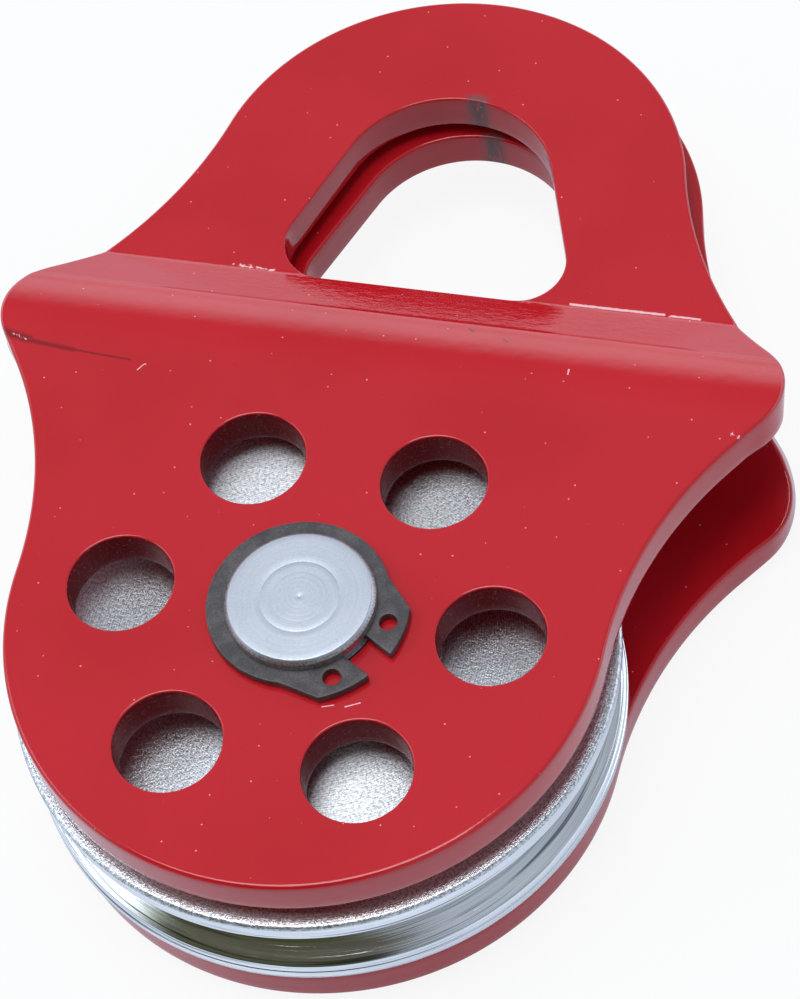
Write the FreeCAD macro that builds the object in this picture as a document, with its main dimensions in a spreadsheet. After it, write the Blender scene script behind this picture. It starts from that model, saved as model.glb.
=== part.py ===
import FreeCAD, Part
import math
import os

import Sketcher
from FreeCAD import Placement, Rotation, Vector

# Snatch block: two joggled side plates swing on one axle, with a grooved sheave between them.
# The block lies on the flat head of its axle. X is across, Y runs from the axle to the eye,
# Z is up along the axle. The origin is the centre of the head's end face. Millimetres, degrees.

SIZES = {
    # Side plate
    "plate_thick": 7.5,
    "base_radius": 50.0,
    "flank_radius": 72.0,
    "flank_straight": 7.7,
    "ear_overhang": 4.3,
    "ear_radius": 15.3,
    "neck_radius": 80.0,
    "edge_bevel": 0.8,
    # Joggle that brings the two eyes together
    "bend_start": 44.5,
    "bend_radius": 37.0,
    "bend_angle": 31.0,
    "joggle_drop": 11.5,
    "crease_radius": 2.5,
    "eye_gap": 3.0,
    # Eye
    "eye_height": 96.9,
    "eye_outer_radius": 44.2,
    "eye_hole_height": 97.3,
    "eye_hole_radius": 20.0,
    "eye_flare_angle": 19.0,
    "eye_corner": 8.6,
    "eye_floor": 73.6,
    # Lightening holes
    "hole_count": 6,
    "hole_radius": 9.0,
    "hole_wall": 9.5,
    # Sheave and its bush
    "sheave_radius": 51.2,
    "sheave_width": 19.4,
    # Share of the gap beside it by which the sheave lies behind the middle
    "sink_share": 0.485,
    "rope_radius": 5.2,
    "rope_depth": 6.0,
    "rope_flare_angle": 12.0,
    "mouth_bevel": 0.8,
    "rim_bevel": 0.8,
    "bush_wall": 3.0,
    # Axle
    "axle_radius": 12.5,
    "running_play": 0.05,
    "axle_reach": 4.0,
    "axle_bevel": 0.7,
    "head_radius": 18.0,
    "head_thick": 3.0,
    "head_bevel": 0.5,
    # Thrust washers
    "washer_radius": 20.0,
    "washer_play": 0.25,
    # Circlip
    "clip_thick": 1.5,
    "clip_play": 0.2,
    "clip_seat_depth": 0.55,
    "clip_seat_play": 0.1,
    "clip_ring_radius": 15.25,
    "clip_ring_offset": 0.8,
    "clip_gap": 5.0,
    "clip_lug_radius": 17.9,
    "clip_lug_angle": 37.0,
    "clip_flare_angle": 57.0,
    "clip_eye_radius": 1.5,
    "clip_eye_circle": 14.9,
    "clip_eye_angle": 26.2,
    "clip_turn_angle": -30.4,
    # How far the rear plate has swung from the front one
    "plate_swing_angle": -1.6,
}

doc = FreeCAD.newDocument("snatch_block")
sheet = doc.addObject("Spreadsheet::Sheet", "sizes")
for row, (name, value) in enumerate(SIZES.items(), start=1):
    sheet.set(f"A{row}", name)
    sheet.set(f"B{row}", str(value))
    sheet.setAlias(f"B{row}", name)
doc.recompute()

# Places and fits that several pieces share, as expressions in the driving dimensions
EAR_REACH = "(sizes.base_radius + sizes.ear_overhang)"
HOLE_CIRCLE = "(sizes.base_radius - sizes.hole_wall - sizes.hole_radius)"
STACK = "(2 * (sizes.plate_thick + sizes.joggle_drop) + sizes.eye_gap)"
MIDDLE = f"(sizes.head_thick + {STACK} / 2)"
FRONT_FACE = f"(sizes.head_thick + {STACK})"
SIDE_GAP = "(sizes.joggle_drop + sizes.eye_gap / 2 - sizes.sheave_width / 2)"
SINK = f"(sizes.sink_share * {SIDE_GAP})"
REAR_WASHER = f"({SIDE_GAP} - {SINK} - sizes.washer_play)"
FRONT_WASHER = f"({SIDE_GAP} + {SINK} - sizes.washer_play)"
SHEAVE_FLOOR = f"({MIDDLE} - {SINK} - sizes.sheave_width / 2)"
BORE = "(sizes.axle_radius + sizes.running_play)"
BUSH_OUTSIDE = "(sizes.axle_radius + sizes.bush_wall)"
CLIP_SEAT = "(sizes.axle_radius - sizes.clip_seat_depth)"
CLIP_FLOOR = f"({FRONT_FACE} + sizes.clip_play)"

# Stock that is left around an outline before it is cut, and how far a cut runs past it
MARGIN = 4.0

# Point positions and fixed geometry in a sketch
START, END, CENTRE = range(1, 4)
X_AXIS, Y_AXIS = range(-1, -3, -1)
ORIGIN = (X_AXIS, START)


def value(expression):
    """Number that an expression in the driving dimensions has now."""
    return float(sheet.evalExpression(expression))


def size(name):
    return value(f"sizes.{name}")


def polar(centre, radius, degrees):
    turn = math.radians(degrees)
    return centre[0] + radius * math.cos(turn), centre[1] + radius * math.sin(turn)


def heading(start, end):
    """Direction in degrees from one point to another."""
    return math.degrees(math.atan2(end[1] - start[1], end[0] - start[0]))


def outer_blend(first, first_radius, second, second_radius, radius):
    """Centre of the arc that touches two circles from outside, to the left of their line."""
    reach, span = first_radius + radius, math.dist(first, second)
    along = (reach**2 - (second_radius + radius)**2 + span**2) / (2 * span)
    aside = math.sqrt(reach**2 - along**2)
    base = polar(first, along, heading(first, second))
    return polar(base, aside, heading(first, second) + 90)


class Sketch:
    """A sketch on one origin plane of a body, with constraints tied to the sheet."""

    def __init__(self, body, name, role, height=None):
        self.item = body.newObject("Sketcher::SketchObject", name)
        self.item.AttachmentSupport = [(origin_part(body, role), "")]
        self.item.MapMode = "FlatFace"
        if height:
            self.item.setExpression("AttachmentOffset.Base.z", height)

    def line(self, start, end):
        return self.item.addGeometry(Part.LineSegment(Vector(*start, 0), Vector(*end, 0)))

    def arc(self, centre, radius, first, last):
        """Counter-clockwise arc between two directions in degrees."""
        ring = Part.Circle(Vector(*centre, 0), Vector(0, 0, 1), radius)
        turns = math.radians(first), math.radians(last)
        return self.item.addGeometry(Part.ArcOfCircle(ring, *turns))

    def circle(self, centre, radius):
        return self.item.addGeometry(Part.Circle(Vector(*centre, 0), Vector(0, 0, 1), radius))

    def hold(self, kind, *place):
        return self.item.addConstraint(Sketcher.Constraint(kind, *place))

    def join(self, kind, *ends):
        """Ties the points of successive pairs: 'Coincident', or 'Tangent' for a smooth run."""
        for first, second in ends:
            self.hold(kind, *first, *second)

    def bind(self, kind, *place, to):
        """Adds a dimension and ties it to an expression."""
        now = math.radians(value(to)) if kind == "Angle" else value(to)
        index = self.hold(kind, *place, now)
        self.item.setExpression(f"Constraints[{index}]", to)

    def rectangle(self, left, right, low, high):
        """A rectangle whose sides stand at four expressions."""
        west, east, south, north = (value(side) for side in (left, right, low, high))
        bottom = self.line((west, south), (east, south))
        side = self.line((east, south), (east, north))
        top = self.line((east, north), (west, north))
        close = self.line((west, north), (west, south))
        self.join("Coincident", ((bottom, END), (side, START)), ((side, END), (top, START)),
                  ((top, END), (close, START)), ((close, END), (bottom, START)))
        for item, kind in ((bottom, "Horizontal"), (top, "Horizontal"), (side, "Vertical"),
                           (close, "Vertical")):
            self.hold(kind, item)
        self.bind("DistanceX", *ORIGIN, bottom, START, to=left)
        self.bind("DistanceX", *ORIGIN, bottom, END, to=right)
        self.bind("DistanceY", *ORIGIN, bottom, START, to=low)
        self.bind("DistanceY", *ORIGIN, top, START, to=high)

    def disc(self, radius):
        """A circle about the origin with its radius at an expression."""
        ring = self.circle((0.0, 0.0), value(radius))
        self.join("Coincident", ((ring, CENTRE), ORIGIN))
        self.bind("Radius", ring, to=radius)


def origin_part(body, role):
    """The body's own origin plane or axis with this role."""
    return next(item for item in body.Origin.OriginFeatures if item.Role == role)


def new_body(label):
    return doc.addObject("PartDesign::Body", label)


def add(body, kind, name, sketch=None, **values):
    """Adds a feature to a body and recomputes it, so that it is the body's tip."""
    feature = body.newObject(f"PartDesign::{kind}", name)
    if sketch:
        feature.Profile = sketch.item
    for key, value in values.items():
        if isinstance(value, str) and key not in ("Type", "SideType"):
            feature.setExpression(key, value)
        else:
            setattr(feature, key, value)
    body.Tip = feature
    doc.recompute()
    return feature


def cut(body, kind, name, sketch=None, **values):
    """Adds a feature that has to take material away."""
    before = body.Shape.Volume
    feature = add(body, kind, name, sketch, **values)
    if not feature.Shape.Volume < before:
        raise ValueError(f"{name} cut nothing from {body.Label}")
    return feature


def edges_where(shape, test):
    """Names of the edges between two faces that pass a test on the edge and their normals."""
    names = []
    for index, edge in enumerate(shape.Edges, start=1):
        faces = shape.ancestorsOfType(edge, Part.Face)
        if len(faces) != 2:
            continue
        middle = edge.valueAt((edge.FirstParameter + edge.LastParameter) / 2)
        normals = [face.normalAt(*face.Surface.parameter(middle)) for face in faces]
        if test(edge, middle, normals):
            names.append(f"Edge{index}")
    return names


# Side plate: a strip pressed to a joggle, trimmed to its outline and pierced

def plate_strip(body):
    """The joggled strip, wider than the ears."""
    thick, drop = size("plate_thick"), size("joggle_drop")
    start, bend, turn = size("bend_start"), size("bend_radius"), size("bend_angle")
    crease = size("crease_radius")
    slope = math.radians(turn)
    tail = -size("base_radius") - MARGIN
    head = size("eye_height") + size("eye_outer_radius") + MARGIN
    fall = bend * (1 - math.cos(slope))
    foot = start + bend * math.sin(slope) + (drop - fall) / math.tan(slope)
    bend_centre = (start, -bend)
    crease_centre = (foot + crease * math.tan(slope / 2), crease - drop)

    sketch = Sketch(body, "joggle", "YZ_Plane")
    rows = []
    for depth in (0.0, thick):
        crest, dip = bend - depth, crease + depth
        flat = sketch.line((tail, -depth), (start, -depth))
        top = sketch.arc(bend_centre, crest, 90 - turn, 90)
        ramp = sketch.line(polar(bend_centre, crest, 90 - turn), polar(crease_centre, dip, 270 - turn))
        low = sketch.arc(crease_centre, dip, 270 - turn, 270)
        eye = sketch.line((crease_centre[0], -drop - depth), (head, -drop - depth))
        sketch.join("Tangent", ((flat, END), (top, END)), ((top, START), (ramp, START)),
                    ((ramp, END), (low, START)), ((low, END), (eye, START)))
        sketch.hold("Horizontal", flat)
        sketch.hold("Horizontal", eye)
        rows.append((flat, top, ramp, low, eye))
    outer, inner = rows
    tail_end = sketch.line((tail, -thick), (tail, 0))
    head_end = sketch.line((head, -drop), (head, -drop - thick))
    sketch.join("Coincident", ((tail_end, START), (inner[0], START)), ((tail_end, END), (outer[0], START)),
                ((head_end, START), (outer[4], END)), ((head_end, END), (inner[4], END)),
                ((outer[1], CENTRE), (inner[1], CENTRE)), ((outer[3], CENTRE), (inner[3], CENTRE)))
    sketch.hold("Vertical", tail_end)
    sketch.hold("Vertical", head_end)
    sketch.hold("Parallel", outer[2], inner[2])
    sketch.hold("PointOnObject", outer[0], START, X_AXIS)
    sketch.bind("DistanceX", *ORIGIN, outer[1], CENTRE, to="sizes.bend_start")
    sketch.bind("Radius", outer[1], to="sizes.bend_radius")
    sketch.bind("Angle", outer[1], to="sizes.bend_angle")
    sketch.bind("Radius", outer[3], to="sizes.crease_radius")
    sketch.bind("DistanceY", outer[4], END, *ORIGIN, to="sizes.joggle_drop")
    sketch.bind("DistanceY", inner[0], START, *ORIGIN, to="sizes.plate_thick")
    sketch.bind("DistanceX", outer[0], START, *ORIGIN, to=f"sizes.base_radius + {MARGIN}")
    sketch.bind("DistanceX", *ORIGIN, outer[4], END,
                to=f"sizes.eye_height + sizes.eye_outer_radius + {MARGIN}")
    width = f"2 * ({EAR_REACH} + sizes.ear_radius + {MARGIN})"
    return add(body, "Pad", "strip", sketch, SideType="Symmetric", Length=width)


def plate_outline(body):
    """Trims the right side of the strip from the base round the ear to the eye, then the left."""
    base, flank, ear = size("base_radius"), size("flank_radius"), size("ear_radius")
    neck, eye = size("neck_radius"), size("eye_outer_radius")
    flank_centre = (base + flank, 0.0)
    # The straight between flank and ear touches one circle on each side
    span = math.hypot(flank + ear, size("flank_straight"))
    reach = value(EAR_REACH)
    ear_centre = (reach, math.sqrt(span**2 - (flank_centre[0] - reach)**2))
    eye_centre = (0.0, size("eye_height"))
    neck_centre = outer_blend(eye_centre, eye, ear_centre, ear, neck)
    square = heading(flank_centre, ear_centre) + math.degrees(math.acos((flank + ear) / span))
    right = ear_centre[0] + ear + 2 * MARGIN
    low, high = -base - 2 * MARGIN, eye_centre[1] + eye + 2 * MARGIN

    sketch = Sketch(body, "outline", "XY_Plane")
    to_ear = heading(neck_centre, ear_centre) % 360
    to_eye = heading(neck_centre, eye_centre) % 360
    rim = sketch.arc((0.0, 0.0), base, -90, 0)
    side = sketch.arc(flank_centre, flank, square % 360, 180)
    straight = sketch.line(polar(flank_centre, flank, square), polar(ear_centre, ear, square + 180))
    tip = sketch.arc(ear_centre, ear, square - 180, to_ear - 180)
    throat = sketch.arc(neck_centre, neck, to_eye, to_ear)
    crown = sketch.arc(eye_centre, eye, to_eye - 180, 90)
    frame = [((0.0, eye_centre[1] + eye), (0.0, high)), ((0.0, high), (right, high)),
             ((right, high), (right, low)), ((right, low), (0.0, low)), ((0.0, low), (0.0, -base))]
    up, over, down, back, close = [sketch.line(*ends) for ends in frame]
    sketch.join("Tangent", ((rim, END), (side, END)), ((side, START), (straight, START)),
                ((straight, END), (tip, START)), ((tip, END), (throat, END)),
                ((throat, START), (crown, START)))
    sketch.join("Coincident", ((crown, END), (up, START)), ((up, END), (over, START)),
                ((over, END), (down, START)), ((down, END), (back, START)),
                ((back, END), (close, START)), ((close, END), (rim, START)),
                ((rim, CENTRE), ORIGIN))
    for item, kind in ((up, "Vertical"), (over, "Horizontal"), (down, "Vertical"),
                       (back, "Horizontal"), (close, "Vertical")):
        sketch.hold(kind, item)
    sketch.hold("PointOnObject", side, CENTRE, X_AXIS)
    sketch.hold("PointOnObject", crown, CENTRE, Y_AXIS)
    sketch.hold("PointOnObject", crown, END, Y_AXIS)
    sketch.hold("PointOnObject", rim, START, Y_AXIS)
    sketch.bind("Radius", rim, to="sizes.base_radius")
    sketch.bind("Radius", side, to="sizes.flank_radius")
    sketch.bind("Radius", tip, to="sizes.ear_radius")
    sketch.bind("Radius", throat, to="sizes.neck_radius")
    sketch.bind("Radius", crown, to="sizes.eye_outer_radius")
    sketch.bind("DistanceX", *ORIGIN, tip, CENTRE, to=EAR_REACH)
    sketch.bind("Distance", straight, to="sizes.flank_straight")
    sketch.bind("DistanceY", *ORIGIN, crown, CENTRE, to="sizes.eye_height")
    sketch.bind("DistanceX", *ORIGIN, over, END, to=f"{EAR_REACH} + sizes.ear_radius + {2 * MARGIN}")
    sketch.bind("DistanceY", *ORIGIN, over, END,
                to=f"sizes.eye_height + sizes.eye_outer_radius + {2 * MARGIN}")
    sketch.bind("DistanceY", back, START, *ORIGIN, to=f"sizes.base_radius + {2 * MARGIN}")
    trim = cut(body, "Pocket", "right_trim", sketch, Type="ThroughAll")
    return cut(body, "Mirrored", "left_trim", Originals=[trim],
               MirrorPlane=(origin_part(body, "YZ_Plane"), [""]))


def plate_eye(body):
    """Pear-shaped eye: a round top, flared sides and a flat floor along the crease."""
    top, corner, flare = size("eye_hole_radius"), size("eye_corner"), size("eye_flare_angle")
    centre, floor = (0.0, size("eye_hole_height")), size("eye_floor")
    lean = math.radians(flare)
    # Distance of a corner's centre from the middle, from its touch on the flared side
    drop = centre[1] - floor - corner
    reach = (top - corner + drop * math.sin(lean)) / math.cos(lean)
    sketch = Sketch(body, "eye", "XY_Plane")
    crown = sketch.arc(centre, top, flare, 180 - flare)
    ends = []
    for side, first, last in ((1, -90, flare), (-1, 180 - flare, 270)):
        mid = (side * reach, floor + corner)
        square = flare if side > 0 else 180 - flare
        bend = sketch.arc(mid, corner, first, last)
        flank = sketch.line(polar(centre, top, square), polar(mid, corner, square))
        ends.append((bend, flank))
    (right, right_side), (left, left_side) = ends
    ground = sketch.line((-reach, floor), (reach, floor))
    sketch.join("Tangent", ((crown, START), (right_side, START)), ((crown, END), (left_side, START)),
                ((right_side, END), (right, END)), ((left_side, END), (left, START)),
                ((right, START), (ground, END)), ((left, END), (ground, START)))
    sketch.hold("PointOnObject", crown, CENTRE, Y_AXIS)
    sketch.hold("Horizontal", ground)
    sketch.hold("Symmetric", left, CENTRE, right, CENTRE, Y_AXIS)
    sketch.bind("Radius", crown, to="sizes.eye_hole_radius")
    sketch.bind("Radius", right, to="sizes.eye_corner")
    sketch.bind("Angle", crown, to="180 - 2 * sizes.eye_flare_angle")
    sketch.bind("DistanceY", *ORIGIN, crown, CENTRE, to="sizes.eye_hole_height")
    sketch.bind("DistanceY", *ORIGIN, ground, START, to="sizes.eye_floor")
    return cut(body, "Pocket", "eye_cut", sketch, Type="ThroughAll")


def plate_holes(body):
    """Axle bore and the ring of lightening holes."""
    bore = Sketch(body, "bore", "XY_Plane")
    bore.disc(BORE)
    cut(body, "Pocket", "bore_cut", bore, Type="ThroughAll")

    hole = Sketch(body, "hole", "XY_Plane")
    ring = hole.circle((value(HOLE_CIRCLE), 0.0), size("hole_radius"))
    hole.hold("PointOnObject", ring, CENTRE, X_AXIS)
    hole.bind("Radius", ring, to="sizes.hole_radius")
    hole.bind("DistanceX", *ORIGIN, ring, CENTRE, to=HOLE_CIRCLE)
    first = cut(body, "Pocket", "hole_cut", hole, Type="ThroughAll")
    return cut(body, "PolarPattern", "hole_ring", Originals=[first], Angle=360,
               Axis=(origin_part(body, "Z_Axis"), [""]), Occurrences="sizes.hole_count")


def plate_edges(body):
    """Bevels every edge of the outer skin but the axle bore's, which the circlip covers."""
    bore = value(BORE) + size("edge_bevel")

    def outer(edge, middle, normals):
        high = max(abs(normal.z) for normal in normals)
        wall = min(abs(normal.z) for normal in normals)
        skin = next(normal for normal in normals if abs(normal.z) == high)
        return wall < 0.01 < high and skin.z > 0 and math.hypot(middle.x, middle.y) > bore

    names = edges_where(body.Shape, outer)
    return cut(body, "Chamfer", "skin_bevel", Base=(body.Tip, names), Size="sizes.edge_bevel")


def side_plate(label):
    body = new_body(label)
    plate_strip(body)
    plate_outline(body)
    plate_eye(body)
    plate_holes(body)
    plate_edges(body)
    return body


def place(body, height, turn=None, flip=False):
    """Stands a body on the axle at a height, turned about it, with its face down if flipped."""
    over = Rotation(Vector(0, 1, 0), 180 if flip else 0)
    about = Rotation(Vector(0, 0, 1), size(turn) if turn else 0)
    body.Placement = Placement(Vector(0, 0, 0), about * over)
    body.setExpression("Placement.Base.z", height)


# Turned pieces on the axle

def ring_edge(radius):
    """Test for a round edge about the axle with this radius."""
    def found(edge, middle, normals):
        return abs(math.hypot(middle.x, middle.y) - radius) < 0.01 and edge.isClosed()
    return found


def collar(label, inside, outside, length):
    """A plain ring about the axle, from its floor up."""
    body = new_body(label)
    section = Sketch(body, f"{label}_ring", "XY_Plane")
    section.disc(inside)
    section.disc(outside)
    add(body, "Pad", f"{label}_pad", section, Length=length)
    return body


def turned_groove(body, name, section):
    return cut(body, "Groove", name, section, Angle=360.0,
               ReferenceAxis=(origin_part(body, "Z_Axis"), [""]))


def grooved_sheave():
    """Sheave with a rope groove, round at the bottom and flared to its mouth, between two rims."""
    rim, rope, flare = size("sheave_radius"), size("rope_radius"), size("rope_flare_angle")
    middle = size("sheave_width") / 2
    centre = (rim - size("rope_depth") + rope, middle)
    body = collar("sheave", BUSH_OUTSIDE, "sizes.sheave_radius", "sizes.sheave_width")

    section = Sketch(body, "rope_section", "XZ_Plane")
    floor = section.arc(centre, rope, 90 + flare, 270 - flare)
    edge, flanks = rim + MARGIN, []
    for side in (1, -1):
        foot = polar(centre, rope, side * (90 + flare))
        spread = side * (edge - foot[0]) * math.tan(math.radians(flare))
        flanks.append(section.line(foot, (edge, foot[1] + spread)))
    high, low = flanks
    mouth = section.line((edge, centre[1] + 2 * rope), (edge, centre[1] - 2 * rope))
    section.join("Tangent", ((floor, START), (high, START)), ((floor, END), (low, START)))
    section.join("Coincident", ((high, END), (mouth, START)), ((low, END), (mouth, END)))
    section.hold("Vertical", mouth)
    section.hold("Equal", high, low)
    section.bind("Radius", floor, to="sizes.rope_radius")
    section.bind("Angle", floor, to="180 - 2 * sizes.rope_flare_angle")
    section.bind("DistanceX", *ORIGIN, floor, CENTRE,
                 to="sizes.sheave_radius - sizes.rope_depth + sizes.rope_radius")
    section.bind("DistanceY", *ORIGIN, floor, CENTRE, to="sizes.sheave_width / 2")
    section.bind("DistanceX", *ORIGIN, mouth, START, to=f"sizes.sheave_radius + {MARGIN}")
    turned_groove(body, "rope_groove", section)

    for name, outer in (("mouth_bevel", False), ("rim_bevel", True)):
        def at_rim(edge, place, normals):
            on_side = abs(abs(place.z - middle) - middle) < 0.01
            return ring_edge(rim)(edge, place, normals) and on_side == outer
        cut(body, "Chamfer", name, Base=(body.Tip, edges_where(body.Shape, at_rim)),
            Size=f"sizes.{name}")
    return body


def headed_axle():
    """Axle with a flat head below and a circlip groove near its free end."""
    body = new_body("axle")
    head = Sketch(body, "head_section", "XY_Plane")
    head.disc("sizes.head_radius")
    add(body, "Pad", "head", head, Length="sizes.head_thick")
    shaft = Sketch(body, "shaft_section", "XY_Plane")
    shaft.disc("sizes.axle_radius")
    add(body, "Pad", "shaft", shaft, Length=f"{FRONT_FACE} + sizes.axle_reach")
    seat = Sketch(body, "clip_seat_section", "XZ_Plane")
    seat.rectangle(CLIP_SEAT, f"sizes.axle_radius + {MARGIN}",
                   f"{CLIP_FLOOR} - sizes.clip_seat_play / 2",
                   f"{CLIP_FLOOR} + sizes.clip_thick + sizes.clip_seat_play / 2")
    turned_groove(body, "clip_seat", seat)
    top = value(f"{FRONT_FACE} + sizes.axle_reach")
    end = edges_where(body.Shape, lambda edge, middle, normals: abs(middle.z - top) < 0.01)
    cut(body, "Chamfer", "end_bevel", Base=(body.Tip, end), Size="sizes.axle_bevel")
    rim = edges_where(body.Shape, ring_edge(size("head_radius")))
    cut(body, "Chamfer", "head_bevel", Base=(body.Tip, rim), Size="sizes.head_bevel")
    return body


def retaining_ring():
    """External circlip: an eccentric ring with two pierced lugs beside its gap, which faces +X."""
    seat, half, lug = value(CLIP_SEAT), size("clip_gap") / 2, size("clip_lug_radius")
    ring, shift = size("clip_ring_radius"), -size("clip_ring_offset")
    lug_turn, flare = size("clip_lug_angle"), size("clip_flare_angle")
    eye = polar((0.0, 0.0), size("clip_eye_circle"), size("clip_eye_angle"))
    body = new_body("circlip")
    section = Sketch(body, "circlip_half", "XY_Plane")
    inside = section.arc((0.0, 0.0), seat, math.degrees(math.asin(half / seat)), 180)
    face = section.line((math.sqrt(seat**2 - half**2), half), (math.sqrt(lug**2 - half**2), half))
    lug_end = section.arc((0.0, 0.0), lug, math.degrees(math.asin(half / lug)), lug_turn)
    flank = section.line(polar((0.0, 0.0), lug, lug_turn), polar((shift, 0.0), ring, flare))
    outside = section.arc((shift, 0.0), ring, flare, 180)
    back = section.line((shift - ring, 0.0), (-seat, 0.0))
    hole = section.circle(eye, size("clip_eye_radius"))
    section.join("Coincident", ((inside, CENTRE), ORIGIN), ((lug_end, CENTRE), ORIGIN),
                 ((inside, START), (face, START)), ((face, END), (lug_end, START)),
                 ((lug_end, END), (flank, START)), ((flank, END), (outside, START)),
                 ((outside, END), (back, START)), ((back, END), (inside, END)))
    section.hold("Horizontal", face)
    section.hold("Horizontal", back)
    section.hold("PointOnObject", inside, END, X_AXIS)
    section.hold("PointOnObject", outside, CENTRE, X_AXIS)
    section.bind("Radius", inside, to=CLIP_SEAT)
    section.bind("Radius", lug_end, to="sizes.clip_lug_radius")
    section.bind("Radius", outside, to="sizes.clip_ring_radius")
    section.bind("Radius", hole, to="sizes.clip_eye_radius")
    section.bind("DistanceY", *ORIGIN, face, START, to="sizes.clip_gap / 2")
    section.bind("DistanceY", *ORIGIN, flank, START,
                 to="sizes.clip_lug_radius * sin(sizes.clip_lug_angle)")
    section.bind("DistanceX", outside, CENTRE, *ORIGIN, to="sizes.clip_ring_offset")
    section.bind("DistanceY", *ORIGIN, outside, START,
                 to="sizes.clip_ring_radius * sin(sizes.clip_flare_angle)")
    section.bind("DistanceX", *ORIGIN, hole, CENTRE,
                 to="sizes.clip_eye_circle * cos(sizes.clip_eye_angle)")
    section.bind("DistanceY", *ORIGIN, hole, CENTRE,
                 to="sizes.clip_eye_circle * sin(sizes.clip_eye_angle)")
    half_ring = add(body, "Pad", "circlip_half_pad", section, Length="sizes.clip_thick")
    add(body, "Mirrored", "circlip_whole", Originals=[half_ring],
        MirrorPlane=(origin_part(body, "XZ_Plane"), [""]))
    return body


rear_plate = side_plate("rear_plate")
front_plate = side_plate("front_plate")
axle = headed_axle()
sheave = grooved_sheave()
bush = collar("bush", BORE, BUSH_OUTSIDE, "sizes.sheave_width")
rear_washer = collar("rear_washer", BORE, "sizes.washer_radius", REAR_WASHER)
front_washer = collar("front_washer", BORE, "sizes.washer_radius", FRONT_WASHER)
circlip = retaining_ring()

place(rear_plate, "sizes.head_thick", turn="plate_swing_angle", flip=True)
place(front_plate, FRONT_FACE)
place(sheave, SHEAVE_FLOOR)
place(bush, SHEAVE_FLOOR)
place(rear_washer, "sizes.head_thick + sizes.plate_thick")
place(front_washer, f"{FRONT_FACE} - sizes.plate_thick - {FRONT_WASHER}")
place(circlip, CLIP_FLOOR, turn="clip_turn_angle")
doc.recompute()

for item in doc.Objects:
    if "Invalid" in item.State or "Error" in item.State:
        raise RuntimeError(f"{item.Label} failed: {item.State}")

os.makedirs("parts", exist_ok=True)
for body in (rear_plate, front_plate, axle, sheave, bush, rear_washer, front_washer, circlip):
    shape = body.Shape
    if shape.isNull() or not shape.isValid() or len(shape.Solids) != 1:
        raise RuntimeError(f"{body.Label} is not one valid solid")
    shape.exportStep(f"parts/{body.Label}.step")
    print(f"{body.Label}: {shape.Volume / 1000:.2f} cm3")
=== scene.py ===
"""Snatch block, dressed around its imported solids.

The block lies on the flat head of its axle. X runs across the plates, Y from the axle to the
eyes and Z up along the axle. Sizes are in millimetres, and meshes are made in metres.
"""

from __future__ import annotations

import logging
import math
from dataclasses import dataclass, field
from enum import Enum
from typing import Any, Sequence

import bpy
import numpy as np
from mathutils import Euler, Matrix, Vector, geometry, kdtree

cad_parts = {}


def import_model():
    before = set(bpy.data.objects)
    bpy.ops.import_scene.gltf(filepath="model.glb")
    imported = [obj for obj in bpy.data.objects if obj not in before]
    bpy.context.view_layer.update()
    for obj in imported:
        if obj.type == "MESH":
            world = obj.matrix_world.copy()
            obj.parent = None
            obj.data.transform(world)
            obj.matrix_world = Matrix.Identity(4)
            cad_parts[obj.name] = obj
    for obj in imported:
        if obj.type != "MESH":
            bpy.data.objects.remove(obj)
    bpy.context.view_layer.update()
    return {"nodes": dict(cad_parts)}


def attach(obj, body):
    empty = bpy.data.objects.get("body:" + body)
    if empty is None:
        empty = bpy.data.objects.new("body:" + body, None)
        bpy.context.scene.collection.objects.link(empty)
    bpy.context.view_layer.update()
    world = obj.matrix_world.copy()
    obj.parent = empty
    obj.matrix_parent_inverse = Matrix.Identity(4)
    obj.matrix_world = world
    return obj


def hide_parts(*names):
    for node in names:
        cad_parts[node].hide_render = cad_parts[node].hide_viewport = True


log = logging.getLogger("snatch_block")

MM = 0.001
# Heights of the plates' outer faces and of the sheave's middle
FRONT_FACE = 44.0
REAR_FACE = 3.0
SHEAVE_MIDDLE = 21.9
# How far the rear plate has swung from the front one, in degrees
PLATE_SWING = -1.6
# Spacing of points on arcs and on short straights
ARC_PITCH = 0.1
LINE_PITCH = 0.2
# Widest angles in degrees that still shade smooth, on cut sheets and on turned pieces
SHEET_SMOOTH = 35.0
TURNED_SMOOTH = 40.0

Points = np.ndarray
Colour = tuple[float, float, float, float]
Socket = bpy.types.NodeSocket
Corner = tuple[float, float, float]


class Body(Enum):
    """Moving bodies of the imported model."""

    REAR_SIDE = "rear_side"
    FRONT_SIDE = "front_side"
    SHEAVE = "sheave"


class Slot(Enum):
    """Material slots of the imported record."""

    COAT = "plate_coat"
    ZINC = "zinc"
    BRONZE = "bronze"
    SPRING_STEEL = "spring_steel"


# Plane curves


def metres(*sizes: float) -> list[float]:
    """Sizes in millimetres turned to metres."""
    return [size * MM for size in sizes]


def polar(radius: float, degrees: float) -> tuple[float, float]:
    """Place at a distance and a direction from the axle."""
    turn = math.radians(degrees)
    return radius * math.cos(turn), radius * math.sin(turn)


def arc(centre: Sequence[float], radius: float, first: float, last: float) -> Points:
    """Points along an arc.

    Args:
        centre: Middle of the arc.
        radius: Its radius.
        first: Direction of the first point in degrees.
        last: Direction of the last point in degrees.

    Returns:
        An array of points, both ends included.
    """
    count = max(4, int(abs(math.radians(last - first)) * radius / ARC_PITCH))
    turn = np.radians(np.linspace(first, last, count))
    return np.stack([centre[0] + radius * np.cos(turn), centre[1] + radius * np.sin(turn)], 1)


def circle(centre: Sequence[float], radius: float) -> Points:
    """Points round a closed circle."""
    return arc(centre, radius, 0, 360)[:-1]


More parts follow.
